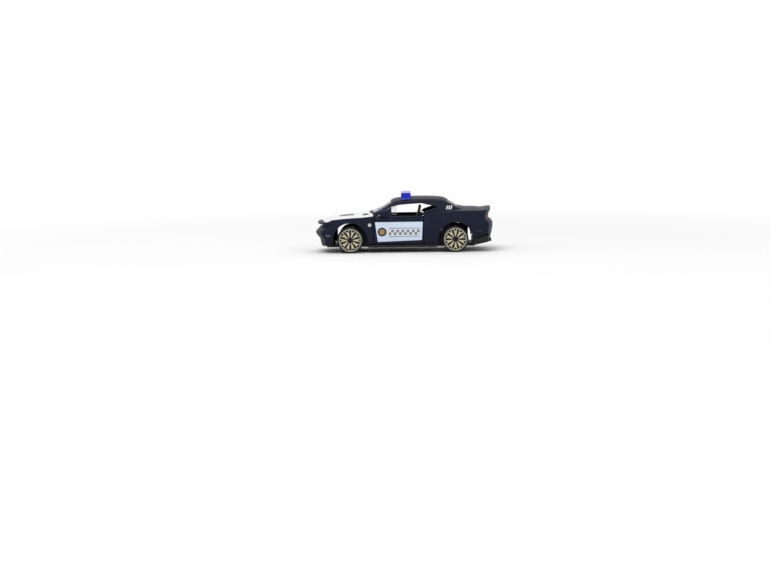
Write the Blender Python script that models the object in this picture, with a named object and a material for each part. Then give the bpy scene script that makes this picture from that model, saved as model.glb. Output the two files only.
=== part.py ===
# Die-cast toy police coupe: zinc body with two opening doors, black plastic
# chassis and interior, clear screens, blue light bar, split-spoke wheels.
# Frame: nose toward -X, left side toward -Y, +Z up, ground at z = 0.

import bpy
import bmesh
import math
import numpy as np
from mathutils import Matrix, Vector

MM = 0.001

# Overall sizes, millimetres
LENGTH = 76.5
WIDTH = 28.8
ROOF_HEIGHT = 23.5
BELT_HEIGHT = 15.9
WALL = 1.0
GAP = 0.3

# Wheels
TYRE_RADIUS = 5.56
TYRE_WIDTH = 4.2
RIM_RADIUS = 4.9
RIM_LIP = 0.3
HUB_HOLE = 1.0
WHEELBASE = 0.5869 * LENGTH
FRONT_AXLE_FROM_NOSE = 0.1987 * LENGTH
ARCH_GAP = 1.8
AXLE_RADIUS = 0.6
SPOKES = 10

# Doors
DOOR_FRONT_FROM_NOSE = 0.3314 * LENGTH
DOOR_LENGTH = 0.2758 * LENGTH
DOOR_BOTTOM = 3.7
HINGE_OFFSET = 2.1
HINGE_SWEEP = 2.8
HINGE_PIN = 0.45
ARM_HEIGHT = 2.4

# Light bar
BAR_LENGTH = 4.2
BAR_SPAN = 18.6
BAR_ABOVE_ROOF = 1.75
BAR_FROM_NOSE = 0.4843 * LENGTH
BAR_PEG = 0.3 * BAR_SPAN

# Chassis
FLOOR_Z = 2.3
TUB_HALF = 9.8
RIVET_RADIUS = 0.8
RIVET_HEAD = 1.5
POST_RADIUS = 1.9
CROSS_WALL_TOP = 7.5

# Lamps and grille
GRILLE_LOW = 10.9
GRILLE_HIGH = 12.4
GRILLE_DEPTH = 4.2
INTAKE_DEPTH = 3.0
INTAKE_LOW = 5.3
INTAKE_HIGH = 6.8
LAMP_LOW = 13.5
LAMP_HIGH = 16.0
LAMP_SET = 1.9

# Derived positions
NOSE = -LENGTH / 2
TAIL = LENGTH / 2
HALF = WIDTH / 2
FRONT_X = NOSE + FRONT_AXLE_FROM_NOSE
REAR_X = FRONT_X + WHEELBASE
AXLE_Z = TYRE_RADIUS
ARCH_RADIUS = TYRE_RADIUS + ARCH_GAP
WHEEL_OUT = HALF - 0.4
WHEEL_IN = WHEEL_OUT - TYRE_WIDTH
DOOR_X0 = NOSE + DOOR_FRONT_FROM_NOSE
DOOR_X1 = DOOR_X0 + DOOR_LENGTH
DOOR_SKIN = 0.968 * HALF
HINGE_X = DOOR_X0 + HINGE_OFFSET
HINGE_Y = DOOR_SKIN - HINGE_OFFSET
DOOR_TOP = BELT_HEIGHT - GAP
BAR_X = NOSE + BAR_FROM_NOSE + BAR_LENGTH / 2
COWL = BELT_HEIGHT + 0.9
DECK = BELT_HEIGHT + 2.9
FLOOR_TOP = DOOR_BOTTOM - GAP
FRONT_PART_TOP = BELT_HEIGHT - 1.7
RIVET_XS = (FRONT_X - 7.6, REAR_X + 3.9)
LIP_TOP = DOOR_BOTTOM + 0.5 - GAP


def along(fraction):
    """X of a station given as a fraction of the length behind the nose."""
    return NOSE + LENGTH * fraction


def smooth_curve(points):
    """Monotone cubic through a few control points."""
    xs = np.array([p[0] for p in points], dtype=float)
    ys = np.array([p[1] for p in points], dtype=float)
    h = np.diff(xs)
    d = np.diff(ys) / h
    m = np.zeros(len(xs))
    m[0] = d[0]
    m[-1] = d[-1]
    for k in range(1, len(xs) - 1):
        if d[k - 1] * d[k] > 0:
            a = 2 * h[k] + h[k - 1]
            b = h[k] + 2 * h[k - 1]
            m[k] = (a + b) / (a / d[k - 1] + b / d[k])

    def value(x):
        x = np.clip(x, xs[0], xs[-1])
        k = np.clip(np.searchsorted(xs, x) - 1, 0, len(h) - 1)
        t = (x - xs[k]) / h[k]
        s = 1 - t
        return ((1 + 2 * t) * s * s * ys[k] + t * s * s * h[k] * m[k]
                + t * t * (3 - 2 * t) * ys[k + 1] - t * t * s * h[k] * m[k + 1])

    return value


# Body curves: lengths run with the body length, heights with the belt
half_width = smooth_curve([(along(0.0), 0.905 * HALF), (along(0.06), 0.96 * HALF),
                           (along(0.19), 0.985 * HALF), (along(0.34), 0.962 * HALF),
                           (along(0.60), 0.968 * HALF), (along(0.79), HALF),
                           (along(0.92), 0.985 * HALF), (along(1.0), 0.95 * HALF)])
bottom_edge = smooth_curve([(along(0.0), DOOR_BOTTOM + 0.5), (along(0.10), DOOR_BOTTOM + 0.5),
                            (along(0.14), DOOR_BOTTOM), (along(0.85), DOOR_BOTTOM), (along(0.885), 5.5),
                            (along(0.97), 7.2), (along(1.0), 7.5)])
crease = smooth_curve([(along(0.0), 8.7), (along(0.10), 9.8), (along(0.5), 10.9), (along(0.9), 11.4),
                       (along(1.0), 11.4)])
shoulder = smooth_curve([(along(0.0), BELT_HEIGHT - 3.0), (along(0.066), BELT_HEIGHT - 2.3),
                         (along(0.088), BELT_HEIGHT - 1.85), (along(0.133), BELT_HEIGHT - 1.4),
                         (along(0.222), BELT_HEIGHT - 0.9), (along(0.266), BELT_HEIGHT - 0.72),
                         (along(0.33), BELT_HEIGHT - 0.2), (along(0.60), BELT_HEIGHT + 0.3),
                         (along(0.70), BELT_HEIGHT + 1.3), (along(0.80), BELT_HEIGHT + 1.75),
                         (along(0.95), BELT_HEIGHT + 1.8), (along(1.0), BELT_HEIGHT + 2.0)])
crown = smooth_curve([(along(0.0), BELT_HEIGHT - 2.8), (along(0.025), BELT_HEIGHT - 2.3),
                      (along(0.045), BELT_HEIGHT - 1.8), (along(0.10), BELT_HEIGHT - 0.5),
                      (along(0.18), BELT_HEIGHT + 0.5), (along(0.30), COWL),
                      (along(0.60), BELT_HEIGHT + 1.0), (along(0.83), DECK),
                      (along(0.90), BELT_HEIGHT + 2.75), (along(0.945), BELT_HEIGHT + 2.4),
                      (along(0.98), BELT_HEIGHT + 2.85), (along(1.0), BELT_HEIGHT + 2.9)])
bulge = smooth_curve([(along(0.03), 0.0), (along(0.07), 0.4), (along(0.25), 0.55), (along(0.29), 0.0),
                      (along(0.31), 0.0)])
nose_set = smooth_curve([(3.0, 2.2), (5.2, 1.95), (6.6, 1.2), (8.7, 0.0), (9.8, 0.7), (10.8, 1.8),
                         (11.6, 1.4), (12.5, 1.0), (16.0, 0.9)])
tail_set = smooth_curve([(4.5, 1.1), (9.2, 0.3), (10.7, 0.05), (12.0, 0.0), (12.8, 0.3), (14.2, 1.9),
                         (16.0, 1.75), (17.5, 1.1), (19.5, 1.0)])

# Roof curve
RISE = ROOF_HEIGHT - BELT_HEIGHT
roof_line = smooth_curve([(along(0.29), BELT_HEIGHT + 0.2), (along(0.305), BELT_HEIGHT + 1.1)]
                         + [(along(f), BELT_HEIGHT + g * RISE) for f, g in (
                             (0.375, 0.468), (0.42, 0.737), (0.443, 0.865), (0.466, 0.92), (0.557, 0.995),
                             (0.60, 1.0), (0.67, 0.98), (0.716, 0.934), (0.739, 0.842), (0.784, 0.618),
                             (0.807, 0.49), (0.829, 0.41))]
                         + [(along(0.85), BELT_HEIGHT + 2.5)])
ROOF_FOOT = 0.875 * HALF
TUMBLE = 0.50


def new_object(name, verts, faces):
    """Closed mesh object from millimetre coordinates."""
    mesh = bpy.data.meshes.new(name)
    mesh.from_pydata([tuple(v) for v in verts], [], [tuple(f) for f in faces])
    obj = bpy.data.objects.new(name, mesh)
    bpy.context.scene.collection.objects.link(obj)
    bm = bmesh.new()
    bm.from_mesh(mesh)
    bmesh.ops.triangulate(bm, faces=[f for f in bm.faces if len(f.verts) > 3])
    bmesh.ops.recalc_face_normals(bm, faces=bm.faces)
    bm.to_mesh(mesh)
    bm.free()
    return obj


def combine(target, other, operation):
    """Apply one exact Boolean and drop the second object."""
    modifier = target.modifiers.new("Boolean", "BOOLEAN")
    modifier.object = other
    modifier.operation = operation
    modifier.solver = "EXACT"
    bpy.context.view_layer.objects.active = target
    bpy.ops.object.modifier_apply(modifier=modifier.name)
    bpy.data.objects.remove(other)
    return target


def cut(target, *others):
    for other in others:
        combine(target, other, "DIFFERENCE")
    return target


def join(target, *others):
    for other in others:
        combine(target, other, "UNION")
    return target


def keep(target, other):
    return combine(target, other, "INTERSECT")


def box(x0, x1, y0, y1, z0, z1):
    verts = [(x, y, z) for x in (x0, x1) for y in (y0, y1) for z in (z0, z1)]
    faces = [(0, 1, 3, 2), (4, 6, 7, 5), (0, 4, 5, 1), (2, 3, 7, 6), (0, 2, 6, 4), (1, 5, 7, 3)]
    return new_object("box", verts, faces)


def prism(outline, axis, start, end):
    """Extrude a closed outline along X, Y or Z from start to end."""
    n = len(outline)
    order = {"X": lambda a, b, t: (t, a, b), "Y": lambda a, b, t: (a, t, b), "Z": lambda a, b, t: (a, b, t)}
    place = order[axis]
    verts = [place(a, b, start) for a, b in outline] + [place(a, b, end) for a, b in outline]
    faces = [tuple(range(n)), tuple(range(2 * n - 1, n - 1, -1))]
    faces += [(i, (i + 1) % n, n + (i + 1) % n, n + i) for i in range(n)]
    return new_object("prism", verts, faces)


def circle(a, b, radius, count, turn=0.0):
    return [(a + radius * math.cos(2 * math.pi * i / count + turn),
             b + radius * math.sin(2 * math.pi * i / count + turn)) for i in range(count)]


def rod(axis, a, b, radius, start, end, count=24, turn=0.0):
    """Round bar along an axis; a and b are its two cross positions."""
    return prism(circle(a, b, radius, count, turn), axis, start, end)


def lathe(profile, count):
    """Ring turned about the Y axis from (radius, y) points of a closed outline."""
    m = len(profile)
    verts = []
    for i in range(count):
        angle = 2 * math.pi * i / count
        verts += [(r * math.cos(angle), y, r * math.sin(angle)) for r, y in profile]
    faces = []
    for i in range(count):
        k = (i + 1) % count
        faces += [(i * m + j, i * m + (j + 1) % m, k * m + (j + 1) % m, k * m + j) for j in range(m)
                  if profile[j][0] > 0 or profile[(j + 1) % m][0] > 0]
    ring = new_object("ring", verts, faces)
    bm = bmesh.new()
    bm.from_mesh(ring.data)
    bmesh.ops.remove_doubles(bm, verts=bm.verts, dist=0.001)
    bmesh.ops.dissolve_degenerate(bm, edges=bm.edges, dist=0.001)
    bmesh.ops.recalc_face_normals(bm, faces=bm.faces)
    bm.to_mesh(ring.data)
    bm.free()
    return ring


def tidy(obj):
    """Merge stray points and flatten faces which lie in one plane."""
    bm = bmesh.new()
    bm.from_mesh(obj.data)
    bmesh.ops.remove_doubles(bm, verts=bm.verts, dist=0.004)
    bmesh.ops.dissolve_degenerate(bm, edges=bm.edges, dist=0.004)
    bmesh.ops.dissolve_limit(bm, angle_limit=math.radians(0.2), verts=bm.verts, edges=bm.edges)
    bmesh.ops.triangulate(bm, faces=bm.faces)
    bmesh.ops.recalc_face_normals(bm, faces=bm.faces)
    bm.to_mesh(obj.data)
    bm.free()


def material(name, color, roughness, metallic, alpha=1.0):
    mat = bpy.data.materials.new(name)
    mat.use_nodes = True
    shader = mat.node_tree.nodes["Principled BSDF"]
    shader.inputs["Base Color"].default_value = (color[0], color[1], color[2], 1.0)
    shader.inputs["Roughness"].default_value = roughness
    shader.inputs["Metallic"].default_value = metallic
    shader.inputs["Alpha"].default_value = alpha
    return mat


def finish(obj, name, mat, origin=(0.0, 0.0, 0.0), smooth=False):
    """Clean, name and colour a piece, and put its origin on its joint axis."""
    tidy(obj)
    obj.name = name
    obj.data.name = name
    obj.data.materials.clear()
    obj.data.materials.append(mat)
    obj.data.transform(Matrix.Scale(MM, 4) @ Matrix.Translation(-Vector(origin)))
    obj.location = Vector(origin) * MM
    if smooth:
        obj.data.shade_smooth()
        obj.data.set_sharp_from_angle(angle=math.radians(35))
    return obj


def loft(x, y, z):
    """Solid from half sections: rows are stations, columns run from the foot to the centre line."""
    rows, cols = y.shape
    full_x = np.concatenate([x, x[:, -2::-1]], axis=1)
    full_y = np.concatenate([-y, y[:, -2::-1]], axis=1)
    full_z = np.concatenate([z, z[:, -2::-1]], axis=1)
    ring = full_x.shape[1]
    verts = np.stack([full_x.ravel(), full_y.ravel(), full_z.ravel()], axis=1)
    faces = []
    for i in range(rows - 1):
        for j in range(ring):
            k = (j + 1) % ring
            faces.append((i * ring + j, i * ring + k, (i + 1) * ring + k, (i + 1) * ring + j))
    return verts, faces, ring


def capped_body(stations, inset, drop):
    """Lower body solid; the end faces follow the nose and tail profiles and the plan curve."""
    x0 = np.asarray(stations, dtype=float)
    w = half_width(x0) - inset
    b = bottom_edge(x0) - drop
    k = crease(x0)
    s = shoulder(x0) - inset
    c = crown(x0) - inset
    hump = bulge(x0)
    flat = c - hump
    edge = w - 1.2
    columns = [(w - 1.1, b), (w - 0.5, b + 0.9 + 0.3 * drop), (w - 0.2, (b + drop) * 0.5 + k * 0.5),
               (w, k), (w - 0.3, (k + s) * 0.5), (w - 0.65, s - 0.4), (edge, s)]
    bulge_out = 0.42 * HALF
    bulge_in = 0.37 * HALF
    for y, lift in ((0.74 * w, 0.0), (bulge_out + 0 * w, 0.0), (bulge_in + 0 * w, 1.0),
                    (0.18 * HALF + 0 * w, 1.0), (0 * w, 1.0)):
        columns.append((y, s + (flat - s) * (1 - (y / edge) ** 2) + hump * lift))
    y = np.stack([p[0] for p in columns], axis=1)
    z = np.stack([p[1] for p in columns], axis=1)
    front = np.clip((along(0.10) - x0) / (0.10 * LENGTH), 0, 1)[:, None]
    rear = np.clip((x0 - along(0.90)) / (0.10 * LENGTH), 0, 1)[:, None]
    q = y / HALF
    x = (x0[:, None] + front * (nose_set(z) + 3.9 * np.abs(q) ** 2.6)
         - rear * (tail_set(z) + 2.6 * np.abs(q) ** 3))
    verts, faces, ring = loft(x, y, z)
    rows = len(x0)
    side = 6
    across = ring - 2 * side
    verts = list(map(tuple, verts))
    for row, sign in ((0, -1), (rows - 1, 1)):
        base = row * ring
        grid = []
        for j in range(side):
            first = base + j
            last = base + ring - 1 - j
            line = [first]
            for t in range(1, across - 1):
                yy = verts[base + side + t][1] * y[row, j] / y[row, side]
                zz = z[row, j]
                qq = abs(yy) / HALF
                if sign < 0:
                    xx = x0[row] + nose_set(zz) + 3.9 * qq ** 2.6
                else:
                    xx = x0[row] - tail_set(zz) - 2.6 * qq ** 3
                verts.append((xx, yy, zz))
                line.append(len(verts) - 1)
            line.append(last)
            grid.append(line)
        grid.append([base + side + t for t in range(across)])
        for lower, upper in zip(grid[:-1], grid[1:]):
            faces += [(lower[t], lower[t + 1], upper[t + 1], upper[t]) for t in range(across - 1)]
        foot = grid[0]
        faces.append(tuple(foot))
    return new_object("lower", verts, faces)


BODY_STATIONS = [along(f) for f in (0.0, 0.015, 0.035, 0.06, 0.085, 0.115, 0.15, 0.22, 0.25, 0.275, 0.295,
                                    0.325, 0.37, 0.44, 0.60, 0.66, 0.72, 0.78, 0.82, 0.855, 0.885, 0.915,
                                    0.94, 0.96, 1.0)]
INNER_STATIONS = [along(f) for f in (0.10, 0.15, 0.22, 0.275, 0.325, 0.44, 0.60, 0.72, 0.82, 0.885,
                                     0.93, 0.955)]
ROOF_STATIONS = [along(f) for f in (0.29, 0.305, 0.34, 0.375, 0.40, 0.42, 0.443, 0.466, 0.50, 0.55, 0.60,
                                    0.64, 0.67, 0.716, 0.739, 0.784, 0.807, 0.829, 0.85)]


def roof_solid(inset, foot_z, stations=ROOF_STATIONS):
    """Cabin solid: sides lean in to the roof, front and rear slopes bow in plan."""
    x0 = np.asarray(stations, dtype=float)
    slope = np.gradient(roof_line(x0), x0)
    top = roof_line(x0) - inset * np.sqrt(1 + slope ** 2)
    foot = ROOF_FOOT * (1 - 0.10 * np.clip((x0 - along(0.62)) / (0.24 * LENGTH), 0, 1)) - inset * 1.12
    rail = np.maximum(top - 0.30 * RISE * np.clip((top - foot_z) / RISE, 0.15, 1), foot_z + 0.3)

    def side(z):
        return foot - TUMBLE * np.maximum(z - BELT_HEIGHT, 0)

    waist = foot_z + 0.45 * (rail - foot_z)
    columns = [(foot, foot_z + 0 * x0), (side(waist), waist), (side(rail), rail)]
    width = side(rail)
    height = top - rail
    for f, g in ((0.96, 0.36), (0.86, 0.62), (0.68, 0.80), (0.38, 0.945), (0.0, 1.0)):
        columns.append((width * f, rail + height * g))
    y = np.stack([p[0] for p in columns], axis=1)
    z = np.stack([p[1] for p in columns], axis=1)
    ends = np.interp(x0, [along(0.29), along(0.48), along(0.64), along(0.85)], [1.4, 0.0, 0.0, -0.9])
    x = x0[:, None] + ends[:, None] * (y / HALF) ** 2 * 1.6
    x[0] += inset * 1.6
    x[-1] -= inset * 1.6
    verts, faces, ring = loft(x, y, z)
    rows = len(x0)
    faces.append(tuple(range(ring)))
    faces.append(tuple(range(rows * ring - 1, (rows - 1) * ring - 1, -1)))
    return new_object("roof", verts, faces)


def outer_body():
    return join(capped_body(BODY_STATIONS, 0.0, 0.0), roof_solid(0.0, BELT_HEIGHT - 2.2))


def plan_shift(y, front):
    """How far the nose or tail face falls back at a half breadth."""
    q = abs(y) / HALF
    return 3.9 * q ** 2.6 if front else 2.6 * q ** 3


def window_outline():
    """Side window: rises along the screen pillar, runs under the roof, ends in a pointed quarter light."""
    return [(along(f), BELT_HEIGHT + g * RISE) for f, g in (
        (0.356, 0.0), (0.428, 0.474), (0.471, 0.566), (0.505, 0.60), (0.598, 0.651), (0.629, 0.575),
        (0.6914, 0.449), (0.657, 0.305), (0.6242, 0.145), (0.6085, 0.0))]


def screen_outline(front, grow):
    """Front or rear screen opening seen along the car, widened by grow; the foot drops towards the sides."""
    base = COWL if front else DECK
    height = ROOF_HEIGHT - base
    middle = base + (0.067 if front else 0.0745) * height - grow
    low = middle - (0.06 if front else 0.117) * height
    high = base + (0.728 if front else 0.677) * height + grow
    foot = ROOF_FOOT * (1.0 if front else 0.93)
    a = foot - TUMBLE * (low - BELT_HEIGHT) - 1.3 + grow
    b = foot - TUMBLE * (high - BELT_HEIGHT) - 1.9 + grow
    return [(-a, low), (0.0, middle), (a, low), (b, high), (-b, high)]


def screen_cutter(front, grow):
    back = 2 * min(grow, 0.0)
    if front:
        return prism(screen_outline(True, grow), "X", along(0.22), along(0.46) + back)
    return prism(screen_outline(False, grow), "X", along(0.69) - back, along(0.92))


def band(front, depth, outer, y0, y1, z0, z1):
    """Strip that follows the plan curve of the nose or tail between two depths."""
    steps = np.linspace(y0, y1, 9)
    side = 1 if front else -1
    end = NOSE if front else TAIL
    inside = [(end + side * (depth + plan_shift(y, front)), y) for y in steps]
    outside = [(end + side * (outer + plan_shift(y, front)), y) for y in steps[::-1]]
    return prism(inside + outside, "Z", z0, z1)


def raw_shell():
    """Body skin of even wall, before any opening is cut."""
    hollow = capped_body(INNER_STATIONS, WALL, 6.0)
    join(hollow, roof_solid(WALL, BELT_HEIGHT - 4.0, ROOF_STATIONS[::2]))
    return cut(outer_body(), hollow)


def door_zone(sign, grow):
    """Space of one door: leaf, rounded leading edge and belt ledge, widened by grow."""
    inner = DOOR_SKIN - HINGE_OFFSET - 0.45
    if grow:
        inner = min(inner - grow, ROOF_FOOT - 2.2 * WALL)
    low = DOOR_BOTTOM - (3.0 if grow else 0.0)
    top = DOOR_TOP + grow
    y0, y1 = sorted((sign * inner, sign * (HALF + 4)))
    leaf = box(HINGE_X, DOOR_X1 + grow, y0, y1, low, top)
    if grow:
        join(leaf, rod("Z", HINGE_X, sign * HINGE_Y, HINGE_SWEEP + grow, low, FRONT_PART_TOP + grow, 32))
        return join(leaf, rod("Z", HINGE_X, sign * HINGE_Y, 1.6 + grow, FRONT_PART_TOP, top, 18))
    lip = DOOR_SKIN - 1.1
    limit = math.acos((lip - HINGE_Y) / HINGE_SWEEP)
    outline = [(HINGE_X + 0.5, sign * lip), (HINGE_X + 0.5, sign * (HALF + 4)), (HINGE_X, sign * (HALF + 4))]
    outline += [(HINGE_X - HINGE_SWEEP * math.sin(t), sign * (HINGE_Y + HINGE_SWEEP * math.cos(t)))
                for t in np.linspace(0, limit, 12)]
    return join(leaf, prism(outline, "Z", low, FRONT_PART_TOP))


def body_shell():
    shell = raw_shell()
    for x in (FRONT_X, REAR_X):
        cut(shell, rod("Y", x, AXLE_Z, ARCH_RADIUS, -HALF - 4, HALF + 4, 36))
    cut(shell, prism(window_outline(), "Y", -HALF - 4, HALF + 4))
    cut(shell, screen_cutter(True, 0.0), screen_cutter(False, 0.0))
    for sign in (-1, 1):
        cut(shell, door_zone(sign, GAP))
    cut(shell, band(True, GRILLE_DEPTH, -3.0, -0.875 * HALF, 0.875 * HALF, GRILLE_LOW, GRILLE_HIGH))
    cut(shell, band(True, INTAKE_DEPTH, -3.0, -0.5 * HALF, 0.5 * HALF, INTAKE_LOW, INTAKE_HIGH))
    for sign in (-1, 1):
        y0, y1 = sorted((sign * 0.17 * HALF, sign * 0.82 * HALF))
        cut(shell, band(False, LAMP_SET + 0.85, -2.0, y0, y1, LAMP_LOW, LAMP_HIGH))
        cut(shell, rod("Z", BAR_X, sign * BAR_PEG, 0.7 + GAP, BELT_HEIGHT, ROOF_HEIGHT + 3, 12))
    for x in RIVET_XS:
        skin = min(float(crown(x - POST_RADIUS)), float(crown(x + POST_RADIUS)))
        post = rod("Z", x, 0.0, POST_RADIUS, LIP_TOP + 1.5 * GAP, skin - 0.6 * WALL, 14)
        join(shell, post)
        cut(shell, rod("Z", x, 0.0, RIVET_RADIUS + GAP, 0.0, FLOOR_TOP + 3.5, 14, math.pi / 14))
    return shell


def door(sign):
    """Door casting with window sill, quarter-light post, mirror, handle and hinge arm."""
    leaf = keep(raw_shell(), door_zone(sign, 0.0))
    low = DOOR_BOTTOM
    arm_top = low + ARM_HEIGHT
    y0, y1 = sorted((sign * HINGE_Y, sign * (DOOR_SKIN - 0.6)))
    join(leaf, box(HINGE_X - 0.6, HINGE_X + 0.6, y0, y1, low, arm_top))
    join(leaf, rod("Z", HINGE_X, sign * HINGE_Y, 0.8, low, arm_top, 20))
    join(leaf, rod("Z", HINGE_X, sign * HINGE_Y, HINGE_PIN, low - 1.0, low + 0.5, 16))
    foot_x, foot_z = window_outline()[0]
    brow_x, brow_z = window_outline()[1]

    def under_pillar(x):
        return foot_z + (x - foot_x) * (brow_z - foot_z) / (brow_x - foot_x) - 1.5 * GAP

    post_x = brow_x - 0.7
    root_x = max(HINGE_X, foot_x) + 0.9
    sill = DOOR_TOP - 0.4
    y0, y1 = sorted((sign * (ROOF_FOOT - 0.9), sign * ROOF_FOOT))
    sail = prism([(root_x, sill), (brow_x, sill), (brow_x, under_pillar(brow_x)),
                  (post_x, under_pillar(post_x)), (post_x, under_pillar(post_x) - 1.2),
                  (post_x - 1.6, under_pillar(post_x - 1.6)), (root_x, under_pillar(root_x))], "Y", y0, y1)
    for vertex in sail.data.vertices:
        vertex.co.y -= sign * TUMBLE * max(vertex.co.z - DOOR_TOP, 0.0)
    join(leaf, sail)
    head_y0, head_y1 = sorted((sign * (DOOR_SKIN - 0.7), sign * (DOOR_SKIN + 1.0)))
    mirror = [(0.0, 0.85), (0.7, 0.45), (3.0, 0.45), (3.2, 2.5), (1.6, 2.6), (0.4, 1.8)]
    head = prism([(root_x - 0.5 + a, DOOR_TOP + b) for a, b in mirror], "Y", head_y0, head_y1)
    stalk_y0, stalk_y1 = sorted((sign * (ROOF_FOOT - 0.6), sign * (DOOR_SKIN - 0.3)))
    join(head, box(root_x + 0.9, root_x + 2.1, stalk_y0, stalk_y1, DOOR_TOP - 0.2, DOOR_TOP + 0.9))
    join(leaf, head)
    grip_y0, grip_y1 = sorted((sign * (DOOR_SKIN - 0.8), sign * (DOOR_SKIN - 0.05)))
    join(leaf, box(DOOR_X1 - 3.4, DOOR_X1 - 1.6, grip_y0, grip_y1, BELT_HEIGHT - 1.75, BELT_HEIGHT - 1.2))
    return leaf


def chassis():
    """Base moulding: floor, sills with door sockets, front lip, rear valance, axle bearings."""
    inner = WHEEL_IN - 1.0
    sill = DOOR_SKIN - 0.95
    front_end = FRONT_X - ARCH_RADIUS - GAP
    rear_end = REAR_X + ARCH_RADIUS + GAP
    sill_x0 = FRONT_X + ARCH_RADIUS + GAP
    sill_x1 = REAR_X - ARCH_RADIUS - GAP
    half = [(RIVET_XS[0] - RIVET_HEAD - 1.0, inner), (sill_x0, inner), (sill_x0, sill), (sill_x1, sill),
            (sill_x1, inner), (rear_end + 0.6, inner)]
    base = prism(half + [(x, -y) for x, y in half[::-1]], "Z", FLOOR_Z, FLOOR_TOP)
    lip_y = 0.86 * HALF
    ys = np.linspace(-lip_y, lip_y, 9)
    lip_low = FLOOR_Z + 0.7
    curve = [(NOSE + float(nose_set(LIP_TOP)) + plan_shift(y, True) + 0.25, y) for y in ys]
    join(base, prism(curve + [(front_end, lip_y), (front_end, -lip_y)], "Z", lip_low, LIP_TOP))
    xs = np.linspace(rear_end, TAIL, 8)
    side = [(x, float(bottom_edge(x)) - GAP) for x in xs]
    valance = prism(side + [(TAIL, FLOOR_Z + 2.3), (rear_end + 0.6, FLOOR_Z + 0.6), (rear_end, FLOOR_Z)],
                    "Y", -lip_y, lip_y)
    curve = [(TAIL - float(tail_set(6.5)) - plan_shift(y, False) - 0.15, y) for y in ys]
    keep(valance, prism(curve + [(rear_end - 1, lip_y + 1), (rear_end - 1, -lip_y - 1)], "Z", 0.0, 12.0))
    join(base, valance)
    for x in (FRONT_X, REAR_X):
        for sign in (-1, 1):
            y0, y1 = sorted((sign * 0.45 * inner, sign * (inner - 0.4)))
            join(base, box(x - 1.9, x + 1.9, y0, y1, FLOOR_Z + 0.4, AXLE_Z + AXLE_RADIUS + 1.0))
        cut(base, rod("Y", x, AXLE_Z, AXLE_RADIUS + 0.25, -HALF, HALF, 12))
    wall_x = RIVET_XS[0] + POST_RADIUS + GAP
    join(base, box(wall_x, FRONT_X - 3.4, -inner + 0.4, inner - 0.4, FLOOR_TOP - 0.2, CROSS_WALL_TOP))
    for sign in (-1, 1):
        cut(base, rod("Z", HINGE_X, sign * HINGE_Y, HINGE_PIN + GAP, FLOOR_TOP - 0.9, FLOOR_TOP + 1, 12))
        join(base, rod("X", sign * 3.2, FLOOR_Z, 0.45, FRONT_X + 6.0, REAR_X - 6.5, 8))
        y0, y1 = sorted((sign * 2.3, sign * 5.6))
        join(base, box(REAR_X - 7.0, REAR_X - 2.6, y0, y1, FLOOR_Z - 0.35, FLOOR_Z + 0.2))
        for k in range(4):
            x = sill_x0 + 3.0 + k * (sill_x1 - sill_x0 - 6.0) / 3
            y0, y1 = sorted((sign * 5.0, sign * (sill - 1.2)))
            join(base, box(x - 0.35, x + 0.35, y0, y1, FLOOR_Z - 0.2, FLOOR_Z + 0.2))
        join(base, rod("X", sign * 0.62 * HALF, FLOOR_Z + 2.6, 0.75, rear_end + 3, TAIL - 1.0, 12))
    sump = [(FRONT_X - 2.6, 2.6), (FRONT_X + 3.4, 2.6), (FRONT_X + 4.6, 1.5), (FRONT_X + 4.6, -1.5),
            (FRONT_X + 3.4, -2.6), (FRONT_X - 2.6, -2.6)]
    join(base, prism(sump, "Z", FLOOR_Z - 0.4, FLOOR_Z + 0.2))
    join(base, rod("Z", REAR_X - 0.2, 0.0, 1.8, FLOOR_Z - 0.35, FLOOR_Z + 0.2, 18))
    for x in RIVET_XS:
        cut(base, rod("Z", x, 0.0, RIVET_RADIUS + GAP, 0.0, FLOOR_TOP + 1, 12))
        cut(base, rod("Z", x, 0.0, RIVET_HEAD + GAP, 0.0, FLOOR_Z + 0.55, 16))
    return base


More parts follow.
